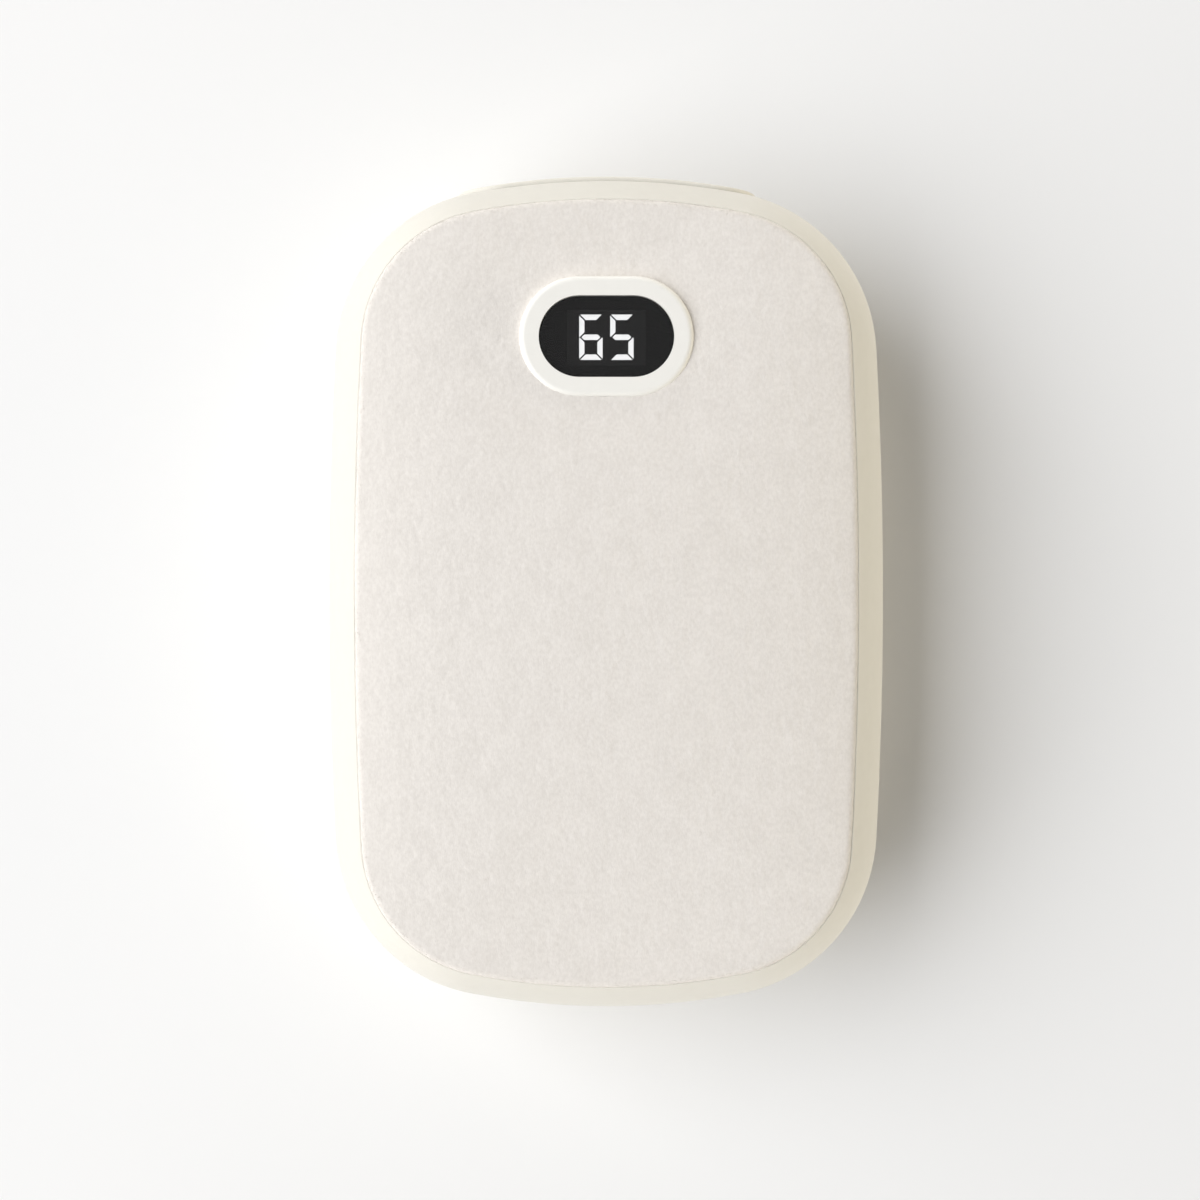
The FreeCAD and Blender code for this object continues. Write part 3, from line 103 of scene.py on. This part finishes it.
# Plush pads: how far they swell past their solids, and how the dome falls and the edges roll down.
# The edge laps the housing's rim and tucks back under itself. The fabric laps the bezel too, and
# dips towards it.
PLUSH_SPREAD = 0.24 * MM
FRONT_LOFT = 0.70 * MM
FRONT_END_FALL = 0.55
EDGE_HEIGHT = 0.38 * MM
EDGE_TUCK = 0.55 * MM
SHOULDER_SHARE = 0.3
SHOULDER_POWER = 6
ROLL_WIDTH = 0.7 * MM
ROLL_HEIGHT = 0.42 * MM
BEZEL_LAP = 0.13 * MM
DIP_WIDTH = 12.0 * MM
DIP_DEPTH = 0.32 * MM

# Mesh of the pads: rings round the edge and the bezel, and scattered points in between. The last
# two sizes are in steps: how far a point strays off the grid, and how far it keeps from the rings.
PLUSH_STEP = 0.26 * MM
ROLL_RINGS = 6
BEZEL_RINGS = 7
BEZEL_RING_WIDTH = 1.0 * MM
MERGE_DISTANCE = 1e-9
STRAY_STEPS = 0.35
CLEAR_STEPS = 0.6

# Nap of the fabric, in layers of noise: the size along each axis and the height in millimetres, the
# turn in degrees, and a shift that sets one layer apart from another
NAP_LAYERS = {
    "tuft": ((0.55, 0.70, 0.55), 0.024, 0, 3),
    "streak": ((0.30, 1.00, 0.40), 0.020, 28, 17),
    "cross_streak": ((0.30, 1.00, 0.40), 0.020, -28, 41),
    "mottle": ((2.2, 2.6, 2.4), 0.020, 0, 59),
    "swell": ((9.0, 9.0, 9.0), 0.050, 0, 71),
}

# Loose fibres that stand out of the rolled edge. Their roots lie in a share of the roll's width,
# crowded towards its edge by a power. They lean out with the roll, with a lift and random strays.
FIBRES_PER_METRE = 20000
FIBRE_LENGTH = (0.10 * MM, 0.24 * MM)
FIBRE_RADIUS = 0.012 * MM
FIBRE_INSET = (0.02, 1.0)
FIBRE_CROWDING = 1.5
FIBRE_LIFT = 0.15
FIBRE_STRAY = 0.35
FIBRE_BEND = 0.35

# Shape of one fibre, in shares of its length, bend and radius. The direction askew to it sets where
# its three corners point.
ROOT_DEPTH = 0.15
MIDDLE_PLACE = 0.5
MIDDLE_BEND = 0.3
MIDDLE_RADIUS = 0.7
CORNER_TURNS = (0, math.tau / 3, 2 * math.tau / 3)
ASKEW = (0.3, 0.5, 0.8)

# Finishes: the range that most noise falls in, the size of a mottle in grains, how far the
# roughness varies, and the colours
NOISE_RANGE = (0.3, 0.7)
MOTTLE_GRAINS = 12
ROUGHNESS_SPREAD = 0.05
CREAM = (0.74, 0.717, 0.653)
PALE_CREAM = (0.87, 0.857, 0.815)
BLACK = (0.009, 0.009, 0.009)
LENS_BLACK = (0.010, 0.010, 0.010, 1.0)
FABRIC_SHADES = ((0.755, 0.716, 0.672), (0.830, 0.791, 0.747))
FABRIC_SHEEN = (1.0, 0.97, 0.92, 1.0)
DIGIT_SHADES = ((0.78, 0.79, 0.80), (0.85, 0.86, 0.87))
DIGIT_GLOWS = ((0.94, 0.95, 0.96), (1.0, 1.0, 1.0))

# Grained finishes: colour, roughness, grain and bump in millimetres, and what else each one has
SATIN = {"tone": 0.01, "Specular_IOR_Level": 0.25}
DULL = {"Specular_IOR_Level": 0.1}
METAL = {"Metallic": 1.0}
UNEVEN = {"tone": 0.1}
PLAIN = {}
GRAINED_FINISHES = {
    "shell_plastic": (CREAM, 0.42, 0.12, 0.004, SATIN),
    "button_plastic": (CREAM, 0.38, 0.12, 0.004, SATIN),
    "bezel_plastic": (PALE_CREAM, 0.45, 0.12, 0.004, SATIN),
    "dark_digit": (BLACK, 0.6, 0.2, 0.001, DULL),
    "display_black": (BLACK, 0.6, 0.2, 0.001, DULL),
    "gasket_foam": (BLACK, 0.9, 0.3, 0.01, DULL),
    "heat_plate": ((0.80, 0.81, 0.82), 0.35, 0.3, 0.004, METAL),
    "heater_film": ((0.48, 0.22, 0.05), 0.3, 0.8, 0.01, {"tone": 0.12}),
    "felt": ((0.70, 0.69, 0.66), 0.95, 0.25, 0.08, {"tone": 0.08}),
    "board_laminate": ((0.02, 0.13, 0.06), 0.35, 0.4, 0.006, UNEVEN),
    "chip_black": ((0.02, 0.02, 0.022), 0.5, 0.15, 0.006, UNEVEN),
    "ferrite": ((0.07, 0.068, 0.066), 0.6, 0.2, 0.01, UNEVEN),
    "capacitor_body": ((0.42, 0.30, 0.18), 0.45, 0.15, 0.004, PLAIN),
    "steel": ((0.62, 0.62, 0.63), 0.3, 0.1, 0.003, METAL),
    "socket_plastic": ((0.02, 0.02, 0.022), 0.4, 0.15, 0.004, PLAIN),
    "switch_black": ((0.025, 0.025, 0.027), 0.45, 0.15, 0.005, PLAIN),
    "plunger_white": ((0.78, 0.78, 0.76), 0.4, 0.15, 0.003, PLAIN),
    "cell_pouch": ((0.66, 0.67, 0.69), 0.32, 0.9, 0.03, {"Metallic": 0.8}),
    "cell_foam": ((0.06, 0.06, 0.062), 0.95, 0.3, 0.06, UNEVEN),
    "tray_plastic": ((0.05, 0.05, 0.053), 0.5, 0.15, 0.005, PLAIN),
    "red_sleeve": ((0.52, 0.03, 0.025), 0.4, 0.2, 0.004, PLAIN),
    "black_sleeve": ((0.02, 0.02, 0.02), 0.4, 0.2, 0.004, PLAIN),
    "white_sleeve": ((0.76, 0.76, 0.74), 0.4, 0.2, 0.004, PLAIN),
}


# Plan outlines


class PadOutline:
    """Eight arcs, each tangent to the next: long sides, bowed ends and round corners."""

    def __init__(self, half_width, half_length):
        inset = BODY_HALF_WIDTH - half_width
        self.side_radius = BODY_SIDE_RADIUS - inset
        self.end_radius = BODY_END_RADIUS - inset
        self.corner_radius = BODY_CORNER_RADIUS - inset
        self.side_x = half_width - self.side_radius
        self.end_y = half_length - self.end_radius
        side_gap = self.side_radius - self.corner_radius
        end_gap = self.end_radius - self.corner_radius
        apart = math.hypot(self.side_x, self.end_y)
        along = (side_gap**2 - end_gap**2 + apart**2) / (2 * apart)
        across = math.sqrt(side_gap**2 - along**2)
        towards_x = -self.side_x / apart
        towards_y = self.end_y / apart
        self.corner_x = self.side_x + along * towards_x - across * towards_y
        self.corner_y = along * towards_y + across * towards_x
        self.side_angle = math.atan2(self.corner_y, self.corner_x - self.side_x)
        self.end_angle = math.atan2(self.corner_x, self.corner_y - self.end_y)

    def arcs(self):
        """Centre, radius and two angles of each arc, anticlockwise from the +X side."""
        quarter = math.pi / 2
        side, end = self.side_angle, self.end_angle
        x, y = self.corner_x, self.corner_y
        return [
            (self.side_x, 0, self.side_radius, -side, side),
            (x, y, self.corner_radius, side, quarter - end),
            (0, self.end_y, self.end_radius, quarter - end, quarter + end),
            (-x, y, self.corner_radius, quarter + end, 2 * quarter - side),
            (-self.side_x, 0, self.side_radius, 2 * quarter - side, 2 * quarter + side),
            (-x, -y, self.corner_radius, 2 * quarter + side, 3 * quarter - end),
            (0, -self.end_y, self.end_radius, 3 * quarter - end, 3 * quarter + end),
            (x, -y, self.corner_radius, 3 * quarter + end, 4 * quarter - side),
        ]

    def ring(self, inset):
        """Points round the outline, drawn in by an inset. Any two rings match point by point."""
        points = []
        for x, y, radius, start, end in self.arcs():
            count = round(radius * (end - start) / PLUSH_STEP)
            reach = radius - inset
            for angle in np.linspace(start, end, count, endpoint=False):
                points.append((x + reach * math.cos(angle), y + reach * math.sin(angle)))
        return np.array(points)

    def depth(self, points):
        """How far inside the outline each point lies."""
        x = np.abs(points[:, 0])
        y = np.abs(points[:, 1])
        side = self.side_radius - np.hypot(x - self.side_x, y)
        end = self.end_radius - np.hypot(x, y - self.end_y)
        corner = self.corner_radius - np.hypot(x - self.corner_x, y - self.corner_y)
        by_side = np.arctan2(y, x - self.side_x) < self.side_angle
        by_end = np.arctan2(x, y - self.end_y) < self.end_angle
        nearest = np.minimum(np.where(by_side, side, np.inf), np.where(by_end, end, np.inf))
        return np.where(by_side | by_end, nearest, corner)


class Oblong:
    """A round-ended hole in plan for a node that stands in it, smaller than the node by a lap."""

    def __init__(self, node, lap):
        low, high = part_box(node)
        self.y = (low[1] + high[1]) / 2
        self.radius = (high[1] - low[1]) / 2 - lap
        self.reach = (high[0] - low[0]) / 2 - lap - self.radius

    def ring(self, offset):
        """Points round the hole, drawn out by an offset, anticlockwise."""
        radius = self.radius + offset
        turns = round(math.pi * self.radius / PLUSH_STEP)
        runs = round(2 * self.reach / PLUSH_STEP)
        points = []
        for side in (1, -1):
            for angle in np.linspace(-math.pi / 2, math.pi / 2, turns, endpoint=False):
                x = self.reach + radius * math.cos(angle)
                points.append((side * x, side * radius * math.sin(angle)))
            for x in np.linspace(self.reach, -self.reach, runs, endpoint=False):
                points.append((side * x, side * radius))
        return np.array(points) + (0, self.y)

    def distance(self, points):
        """How far outside the hole each point lies."""
        x = np.maximum(np.abs(points[:, 0]) - self.reach, 0)
        return np.hypot(x, points[:, 1] - self.y) - self.radius


# Meshes


def new_object(name, vertices, faces, slot):
    mesh = bpy.data.meshes.new(name)
    mesh.from_pydata([tuple(v) for v in vertices], [], faces)
    mesh.validate()
    mesh.polygons.foreach_set("use_smooth", [True] * len(mesh.polygons))
    mesh.update()
    piece = bpy.data.objects.new(name, mesh)
    bpy.context.scene.collection.objects.link(piece)
    mesh.materials.append(finishes[slot])
    return piece


def roll(distance, width):
    """A quarter round, from 0 at an edge to 1 at a width from it."""
    left = 1 - np.clip(distance / width, 0, 1)
    return np.sqrt(1 - left**2)


def dome(distance, width):
    """The domed face, from 0 at its edge to 1 at a width from it, steeper near the edge."""
    left = 1 - np.clip(distance / width, 0, 1)
    return 1 - (1 - SHOULDER_SHARE) * left**2 - SHOULDER_SHARE * left**SHOULDER_POWER


def dip(distance):
    """A wide shallow hollow, from 1 at the bezel to 0 at its width away."""
    return (1 + np.cos(math.pi * np.clip(distance / DIP_WIDTH, 0, 1))) / 2


def stretched_noise(point, size, turn, shift):
    """Smooth noise at a point, with a size of its own along each axis."""
    x = point[0] * math.cos(turn) + point[1] * math.sin(turn)
    y = point[1] * math.cos(turn) - point[0] * math.sin(turn)
    x_size, y_size, z_size = (length * MM for length in size)
    return noise(Vector((x / x_size + shift, y / y_size + shift, point[2] / z_size)))


def nap_height(point):
    """How far the nap stands out of the smooth fabric at a point."""
    total = 0.0
    for size, height, turn, shift in NAP_LAYERS.values():
        total += height * MM * stretched_noise(point, size, math.radians(turn), shift)
    return total


class Plush:
    """One fabric pad: its outline, the hole in it, and the height of its face over its base."""

    def __init__(self, node, loft=0.0, end_fall=0.0, hole=None):
        low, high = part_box(node)
        self.node = node
        self.half_width = high[0] + PLUSH_SPREAD
        self.half_length = high[1] + PLUSH_SPREAD
        self.outline = PadOutline(self.half_width, self.half_length)
        self.hole = hole
        self.faces_up = low[2] > MIDDLE_Z
        self.sign = 1 if self.faces_up else -1
        self.base_z = low[2] if self.faces_up else high[2]
        self.crest = high[2] - low[2] + loft - EDGE_HEIGHT - ROLL_HEIGHT
        self.end_fall = end_fall
        self.lowest_z = low[2]

    def height(self, points):
        """Height of the face over the base at each point in plan."""
        inside = self.outline.depth(points)
        crest = self.crest * (1 - self.end_fall * (points[:, 1] / self.half_length) ** 2)
        height = EDGE_HEIGHT + ROLL_HEIGHT * roll(inside, ROLL_WIDTH)
        height += crest * dome(inside, self.half_width)
        if self.hole:
            height -= DIP_DEPTH * dip(self.hole.distance(points))
        return height

    def on_face(self, points):
        """Points in plan, raised from the base to the pad's face."""
        return np.column_stack([points, self.base_z + self.sign * self.height(points)])

    def on_base(self, points):
        """Points in plan, at the pad's flat back."""
        return np.column_stack([points, np.full(len(points), self.base_z)])

    def edge_rings(self):
        """Rings round the pad's face, from its edge to the inner end of the roll."""
        angles = np.linspace(0, math.pi / 2, ROLL_RINGS)
        return [self.outline.ring(ROLL_WIDTH * (1 - math.cos(angle))) for angle in angles]

    def hole_rings(self):
        """Rings round the hole, if there is one, closer together towards the bezel."""
        if not self.hole:
            return []
        offsets = BEZEL_RING_WIDTH * np.linspace(0, 1, BEZEL_RINGS) ** 2
        return [self.hole.ring(offset) for offset in offsets]

    def scattered(self, rng):
        """Points all over the middle of the face, about a step apart and off any grid."""
        x, y = np.meshgrid(
            np.arange(-self.half_width, self.half_width, PLUSH_STEP),
            np.arange(-self.half_length, self.half_length, PLUSH_STEP),
        )
        points = np.column_stack([x.ravel(), y.ravel()])
        points += rng.uniform(-STRAY_STEPS, STRAY_STEPS, points.shape) * PLUSH_STEP
        clearance = PLUSH_STEP * CLEAR_STEPS
        keep = self.outline.depth(points) > ROLL_WIDTH + clearance
        if self.hole:
            keep &= self.hole.distance(points) > BEZEL_RING_WIDTH + clearance
        return points[keep]


class MeshParts:
    """Vertices and faces that are gathered in steps."""

    def __init__(self):
        self.vertices = []
        self.faces = []

    def add(self, points):
        """Take in points, and tell their numbers."""
        first = len(self.vertices)
        self.vertices.extend(points)
        return list(range(first, len(self.vertices)))

    def join(self, ring, following, flip):
        """A band of quads between two matching rings."""
        for index in range(len(ring)):
            after = (index + 1) % len(ring)
            quad = (ring[index], ring[after], following[after], following[index])
            self.faces.append(quad[::-1] if flip else quad)

    def fill(self, boundary, hole_ring, loose, flip):
        """Triangles in plan over loose points, inside a boundary ring and outside a hole ring."""
        used = boundary + hole_ring + loose
        numbers = {index: number for number, index in enumerate(used)}
        edges = []
        for ring in (boundary, hole_ring):
            for index, after in zip(ring, ring[1:] + ring[:1]):
                edges.append((numbers[index], numbers[after]))
        flat = [Vector(self.vertices[index][:2]) for index in used]
        inside_edges = 1
        result = delaunay_2d_cdt(flat, edges, [], inside_edges, MERGE_DISTANCE)
        triangles, sources = result[2:4]
        hole_corners = set(hole_ring)
        for triangle in triangles:
            corners = [used[sources[index][0]] for index in triangle]
            if not hole_corners.issuperset(corners):
                self.faces.append(corners[::-1] if flip else corners)


def plush_mesh(plush, rng):
    """A closed pad: rolled edge, scattered face, sides that tuck in and a flat back."""
    parts = MeshParts()
    up = plush.faces_up
    edge_rings = [parts.add(plush.on_face(ring)) for ring in plush.edge_rings()]
    hole_rings = [parts.add(plush.on_face(ring)) for ring in plush.hole_rings()]
    loose = parts.add(plush.on_face(plush.scattered(rng)))
    visible = len(parts.vertices)
    for rings, flip in ((edge_rings, not up), (hole_rings, up)):
        for ring, following in zip(rings, rings[1:]):
            parts.join(ring, following, flip)
    parts.fill(edge_rings[-1], hole_rings[-1] if plush.hole else [], loose, not up)
    back_edge = parts.add(plush.on_base(plush.outline.ring(EDGE_TUCK)))
    parts.join(back_edge, edge_rings[0], not up)
    back_hole = []
    if plush.hole:
        back_hole = parts.add(plush.on_base(plush.hole.ring(0)))
        parts.join(hole_rings[0], back_hole, not up)
    parts.fill(back_edge, back_hole, [], up)
    return parts, visible


def make_plush(name, plush):
    """The pad with its nap raised along the fabric's own normals."""
    rng = np.random.default_rng(SEED)
    parts, visible = plush_mesh(plush, rng)
    piece = new_object(name, parts.vertices, parts.faces, "pad_fabric")
    mesh = piece.data
    normals = [vertex.normal.copy() for vertex in mesh.vertices]
    for vertex, normal in zip(mesh.vertices[:visible], normals):
        vertex.co += normal * nap_height(vertex.co)
        vertex.co.z = max(vertex.co.z, plush.lowest_z)
    mesh.update()
    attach(piece, "housing")
    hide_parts(plush.node)


def make_fringe(name, plush):
    """Short loose fibres all round the rolled edge, each a bent three-sided spike."""
    rng = np.random.default_rng(SEED + 1)
    ring = plush.outline.ring(0)
    following = np.roll(ring, -1, axis=0)
    runs = np.linalg.norm(following - ring, axis=1)
    count = round(runs.sum() * FIBRES_PER_METRE)
    picks = rng.choice(len(ring), count, p=runs / runs.sum())
    share = rng.uniform(0, 1, (count, 1))
    edge = ring[picks] * (1 - share) + following[picks] * share
    along = (following - ring)[picks] / runs[picks][:, None]
    outward = np.column_stack([along[:, 1], -along[:, 0]])
    inset = ROLL_WIDTH * rng.uniform(*FIBRE_INSET, (count, 1)) ** FIBRE_CROWDING
    root = plush.on_face(edge - outward * inset)
    slope = 1 - inset / ROLL_WIDTH
    rise = np.sqrt(1 - slope**2) + FIBRE_LIFT
    lean = np.column_stack([outward * slope, plush.sign * rise])
    lean += rng.normal(0, FIBRE_STRAY, (count, 3))
    lean /= np.linalg.norm(lean, axis=1)[:, None]
    length = rng.uniform(*FIBRE_LENGTH, (count, 1))
    bend = rng.normal(0, FIBRE_BEND, (count, 3))
    parts = MeshParts()
    for index in range(count):
        add_fibre(parts, root[index], lean[index], bend[index], length[index, 0])
    piece = new_object(name, parts.vertices, parts.faces, "pad_fabric")
    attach(piece, "housing")


def add_fibre(parts, root, lean, bend, length):
    """One fibre, from under the fabric over a thinner middle to a point."""
    side = np.cross(lean, ASKEW)
    side /= np.linalg.norm(side)
    across = np.cross(lean, side)
    spokes = [side * math.cos(turn) + across * math.sin(turn) for turn in CORNER_TURNS]
    start = root - lean * length * ROOT_DEPTH
    middle = root + (lean + bend * MIDDLE_BEND) * length * MIDDLE_PLACE
    tip = root + (lean + bend) * length
    low = parts.add([start + spoke * FIBRE_RADIUS for spoke in spokes])
    high = parts.add([middle + spoke * FIBRE_RADIUS * MIDDLE_RADIUS for spoke in spokes])
    top = parts.add([tip])[0]
    parts.join(low, high, False)
    for corner, after in zip(high, high[1:] + high[:1]):
        parts.faces.append((corner, after, top))
    parts.faces.append(tuple(low[::-1]))


# Finishes


class Finish:
    """A material, with short ways to add what varies over its surface."""

    def __init__(self, name, **constants):
        self.material = bpy.data.materials.new(name)
        self.material.use_nodes = True
        self.tree = self.material.node_tree
        self.shader = self.tree.nodes["Principled BSDF"]
        self.place = self.tree.nodes.new("ShaderNodeTexCoord").outputs["Object"]
        for socket, value in constants.items():
            self.shader.inputs[socket.replace("_", " ")].default_value = value

    def node(self, kind, inputs, **settings):
        """A new node, with each input linked to a socket or set to a value."""
        made = self.tree.nodes.new(kind)
        for setting, value in settings.items():
            setattr(made, setting, value)
        for socket, value in inputs.items():
            if isinstance(value, bpy.types.NodeSocket):
                self.tree.links.new(value, made.inputs[socket])
            else:
                made.inputs[socket].default_value = value
        return made

    def feed(self, socket, source):
        self.tree.links.new(source, self.shader.inputs[socket])

    def noise(self, grain, detail=2.0, stretch=(1.0, 1.0, 1.0), turn=0.0):
        """Noise with a grain size in metres, drawn out along an axis by a stretch."""
        scale = tuple(1 / (grain * factor) for factor in stretch)
        mapping = self.node(
            "ShaderNodeMapping",
            {"Vector": self.place, "Scale": scale, "Rotation": (0.0, 0.0, turn)},
        )
        texture = self.node(
            "ShaderNodeTexNoise",
            {"Vector": mapping.outputs["Vector"], "Scale": 1.0, "Detail": detail},
        )
        return texture.outputs["Fac"]

    def blend_colours(self, factor, colours, places=NOISE_RANGE):
        """A colour between two, by where the factor lies between two places."""
        ramp = self.node("ShaderNodeValToRGB", {"Fac": factor})
        for element, colour, place in zip(ramp.color_ramp.elements, colours, places):
            element.position = place
            element.color = (*colour, 1.0)
        return ramp.outputs["Color"]

    def spread(self, factor, low, high):
        """Noise turned into a range of values."""
        start, end = NOISE_RANGE
        span = self.node(
            "ShaderNodeMapRange",
            {"Value": factor, "From Min": start, "From Max": end, "To Min": low, "To Max": high},
        )
        return span.outputs["Result"]

    def raise_by(self, height, distance, strength=1.0):
        """Normals of a fine relief, a distance high."""
        inputs = {"Height": height, "Distance": distance, "Strength": strength}
        return self.node("ShaderNodeBump", inputs).outputs["Normal"]


def tinted(colour, factor):
    return tuple(min(1.0, channel * factor) for channel in colour)


def grained(name, colour, roughness, grain, bump, tone=0.03, **constants):
    """A solid finish with a slight mottle, uneven shine and a fine grain."""
    finish = Finish(name, **constants)
    mottle = finish.noise(grain * MOTTLE_GRAINS, detail=3.0)
    shades = (tinted(colour, 1 - tone), tinted(colour, 1 + tone))
    finish.feed("Base Color", finish.blend_colours(mottle, shades))
    fine = finish.noise(grain, detail=3.0)
    shine = finish.spread(fine, roughness - ROUGHNESS_SPREAD, roughness + ROUGHNESS_SPREAD)
    finish.feed("Roughness", shine)
    finish.feed("Normal", finish.raise_by(fine, bump))
    return finish.material


def fabric(name):
    """Cream plush: tufts a shade apart, a soft sheen and hair-fine relief."""
    finish = Finish(
        name,
        Sheen_Weight=0.12,
        Sheen_Roughness=0.45,
        Sheen_Tint=FABRIC_SHEEN,
        Specular_IOR_Level=0.15,
    )
    tuft = finish.noise(0.32 * MM, detail=4.0, stretch=(1.0, 1.5, 1.0))
    mottle = finish.noise(2.4 * MM, stretch=(1.0, 1.3, 1.0))
    mottle_share = 0.4
    sum_inputs = {0: mottle, 1: mottle_share, 2: tuft}
    shade = finish.node("ShaderNodeMath", sum_inputs, operation="MULTIPLY_ADD")
    colour = finish.blend_colours(shade.outputs[0], FABRIC_SHADES, places=(0.5, 0.9))
    finish.feed("Base Color", colour)
    hair = finish.noise(0.11 * MM, detail=3.0, stretch=(1.0, 3.0, 1.0), turn=math.radians(20))
    finish.feed("Roughness", finish.spread(hair, low=0.85, high=0.98))
    finish.feed("Normal", finish.raise_by(hair, 0.03 * MM, strength=0.6))
    return finish.material


def smoked_lens(name):
    """Dark clear plastic with a faint haze."""
    finish = Finish(name, Base_Color=LENS_BLACK, Alpha=0.5, Specular_IOR_Level=0.38)
    haze = finish.noise(3.0 * MM)
    finish.feed("Roughness", finish.spread(haze, low=0.05, high=0.09))
    return finish.material


def lit_digit(name):
    """White light, a little uneven along the strokes."""
    finish = Finish(name, Roughness=0.5, Emission_Strength=3.5)
    glow = finish.noise(0.9 * MM, detail=1.0)
    finish.feed("Base Color", finish.blend_colours(glow, DIGIT_SHADES))
    finish.feed("Emission Color", finish.blend_colours(glow, DIGIT_GLOWS))
    return finish.material


def make_finishes():
    """A material for each slot in the record, and one more for the bezel."""
    made = {
        "pad_fabric": fabric("pad_fabric"),
        "lens_smoke": smoked_lens("lens_smoke"),
        "lit_digit": lit_digit("lit_digit"),
    }
    for name, (colour, roughness, grain, bump, extras) in GRAINED_FINISHES.items():
        made[name] = grained(name, colour, roughness, grain * MM, bump * MM, **extras)
    return made


def dress_solids():
    """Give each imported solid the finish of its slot. The bezel is a paler moulding."""
    for subpart in frame["record"]["subparts"]:
        mesh = nodes[subpart["node"]].data
        mesh.materials.clear()
        mesh.materials.append(finishes[subpart["material_slot"]])
    nodes["display_bezel"].data.materials[0] = finishes["bezel_plastic"]


# Floor, light and camera


def seen_directly(tree):
    """1 for rays from the camera, a gloss or clear piece, and 0 for light that falls on things."""
    path = tree.nodes.new("ShaderNodeLightPath")
    total = path.outputs["Is Camera Ray"]
    for name in ("Is Glossy Ray", "Is Transmission Ray"):
        either = tree.nodes.new("ShaderNodeMath")
        either.operation = "MAXIMUM"
        tree.links.new(total, either.inputs[0])
        tree.links.new(path.outputs[name], either.inputs[1])
        total = either.outputs[0]
    return total


def make_floor():
    """A pale floor, a little paler where it is seen than where it lights the part."""
    half = FLOOR_SIZE / 2
    low = cad_box[0][2] - FLOOR_DROP
    corners = [(-half, -half, low), (half, -half, low), (half, half, low), (-half, half, low)]
    mesh = bpy.data.meshes.new("floor")
    mesh.from_pydata(corners, [], [(0, 1, 2, 3)])
    floor = bpy.data.objects.new("floor", mesh)
    bpy.context.scene.collection.objects.link(floor)
    material = bpy.data.materials.new("floor")
    material.use_nodes = True
    tree = material.node_tree
    shader = tree.nodes["Principled BSDF"]
    paler = tree.nodes.new("ShaderNodeMixRGB")
    paler.inputs["Color1"].default_value = FLOOR_COLOUR
    paler.inputs["Color2"].default_value = FLOOR_SEEN_COLOUR
    tree.links.new(seen_directly(tree), paler.inputs["Fac"])
    tree.links.new(paler.outputs["Color"], shader.inputs["Base Color"])
    shader.inputs["Roughness"].default_value = FLOOR_ROUGHNESS
    shader.inputs["Specular IOR Level"].default_value = 0.0
    mesh.materials.append(material)


def make_sky():
    """Even soft light from all round, which shows as white."""
    world = bpy.data.worlds.new("sky")
    bpy.context.scene.world = world
    world.use_nodes = True
    tree = world.node_tree
    background = tree.nodes["Background"]
    background.inputs["Color"].default_value = SKY_COLOUR
    strength = tree.nodes.new("ShaderNodeMapRange")
    strength.inputs["To Min"].default_value = SKY_STRENGTH
    strength.inputs["To Max"].default_value = SKY_SEEN_STRENGTH
    tree.links.new(seen_directly(tree), strength.inputs["Value"])
    tree.links.new(strength.outputs["Result"], background.inputs["Strength"])


def make_lamps():
    """Large soft lamps, all aimed at the middle of the part."""
    for name, (azimuth, elevation, distance, width, height, watts, colour) in LAMPS.items():
        turn = math.radians(azimuth)
        rise = math.radians(elevation)
        level = math.cos(rise)
        way = Vector((math.cos(turn) * level, math.sin(turn) * level, math.sin(rise)))
        light = bpy.data.lights.new(name, "AREA")
        light.shape = "RECTANGLE"
        light.size = width
        light.size_y = height
        light.energy = watts
        light.color = colour
        lamp = bpy.data.objects.new(name, light)
        lamp.location = Vector(LAMP_AIM) + way * distance
        lamp.rotation_euler = (-way).to_track_quat("-Z", "Y").to_euler()
        lamp.visible_camera = False
        bpy.context.scene.collection.objects.link(lamp)


def make_camera():
    lens = bpy.data.cameras.new("camera")
    lens.lens = CAMERA_LENS
    lens.sensor_width = CAMERA_SENSOR
    lens.clip_start = CAMERA_NEAR
    camera = bpy.data.objects.new("camera", lens)
    camera.location = CAMERA_PLACE
    bpy.context.scene.collection.objects.link(camera)
    bpy.context.scene.camera = camera


finishes = make_finishes()
dress_solids()
front = Plush("front_pad", FRONT_LOFT, FRONT_END_FALL, Oblong("display_bezel", BEZEL_LAP))
rear = Plush("rear_pad")
make_plush("front_plush", front)
make_plush("rear_plush", rear)
make_fringe("front_fringe", front)
make_fringe("rear_fringe", rear)
make_floor()
make_sky()
make_lamps()
make_camera()
bpy.context.scene.view_settings.view_transform = "Standard"
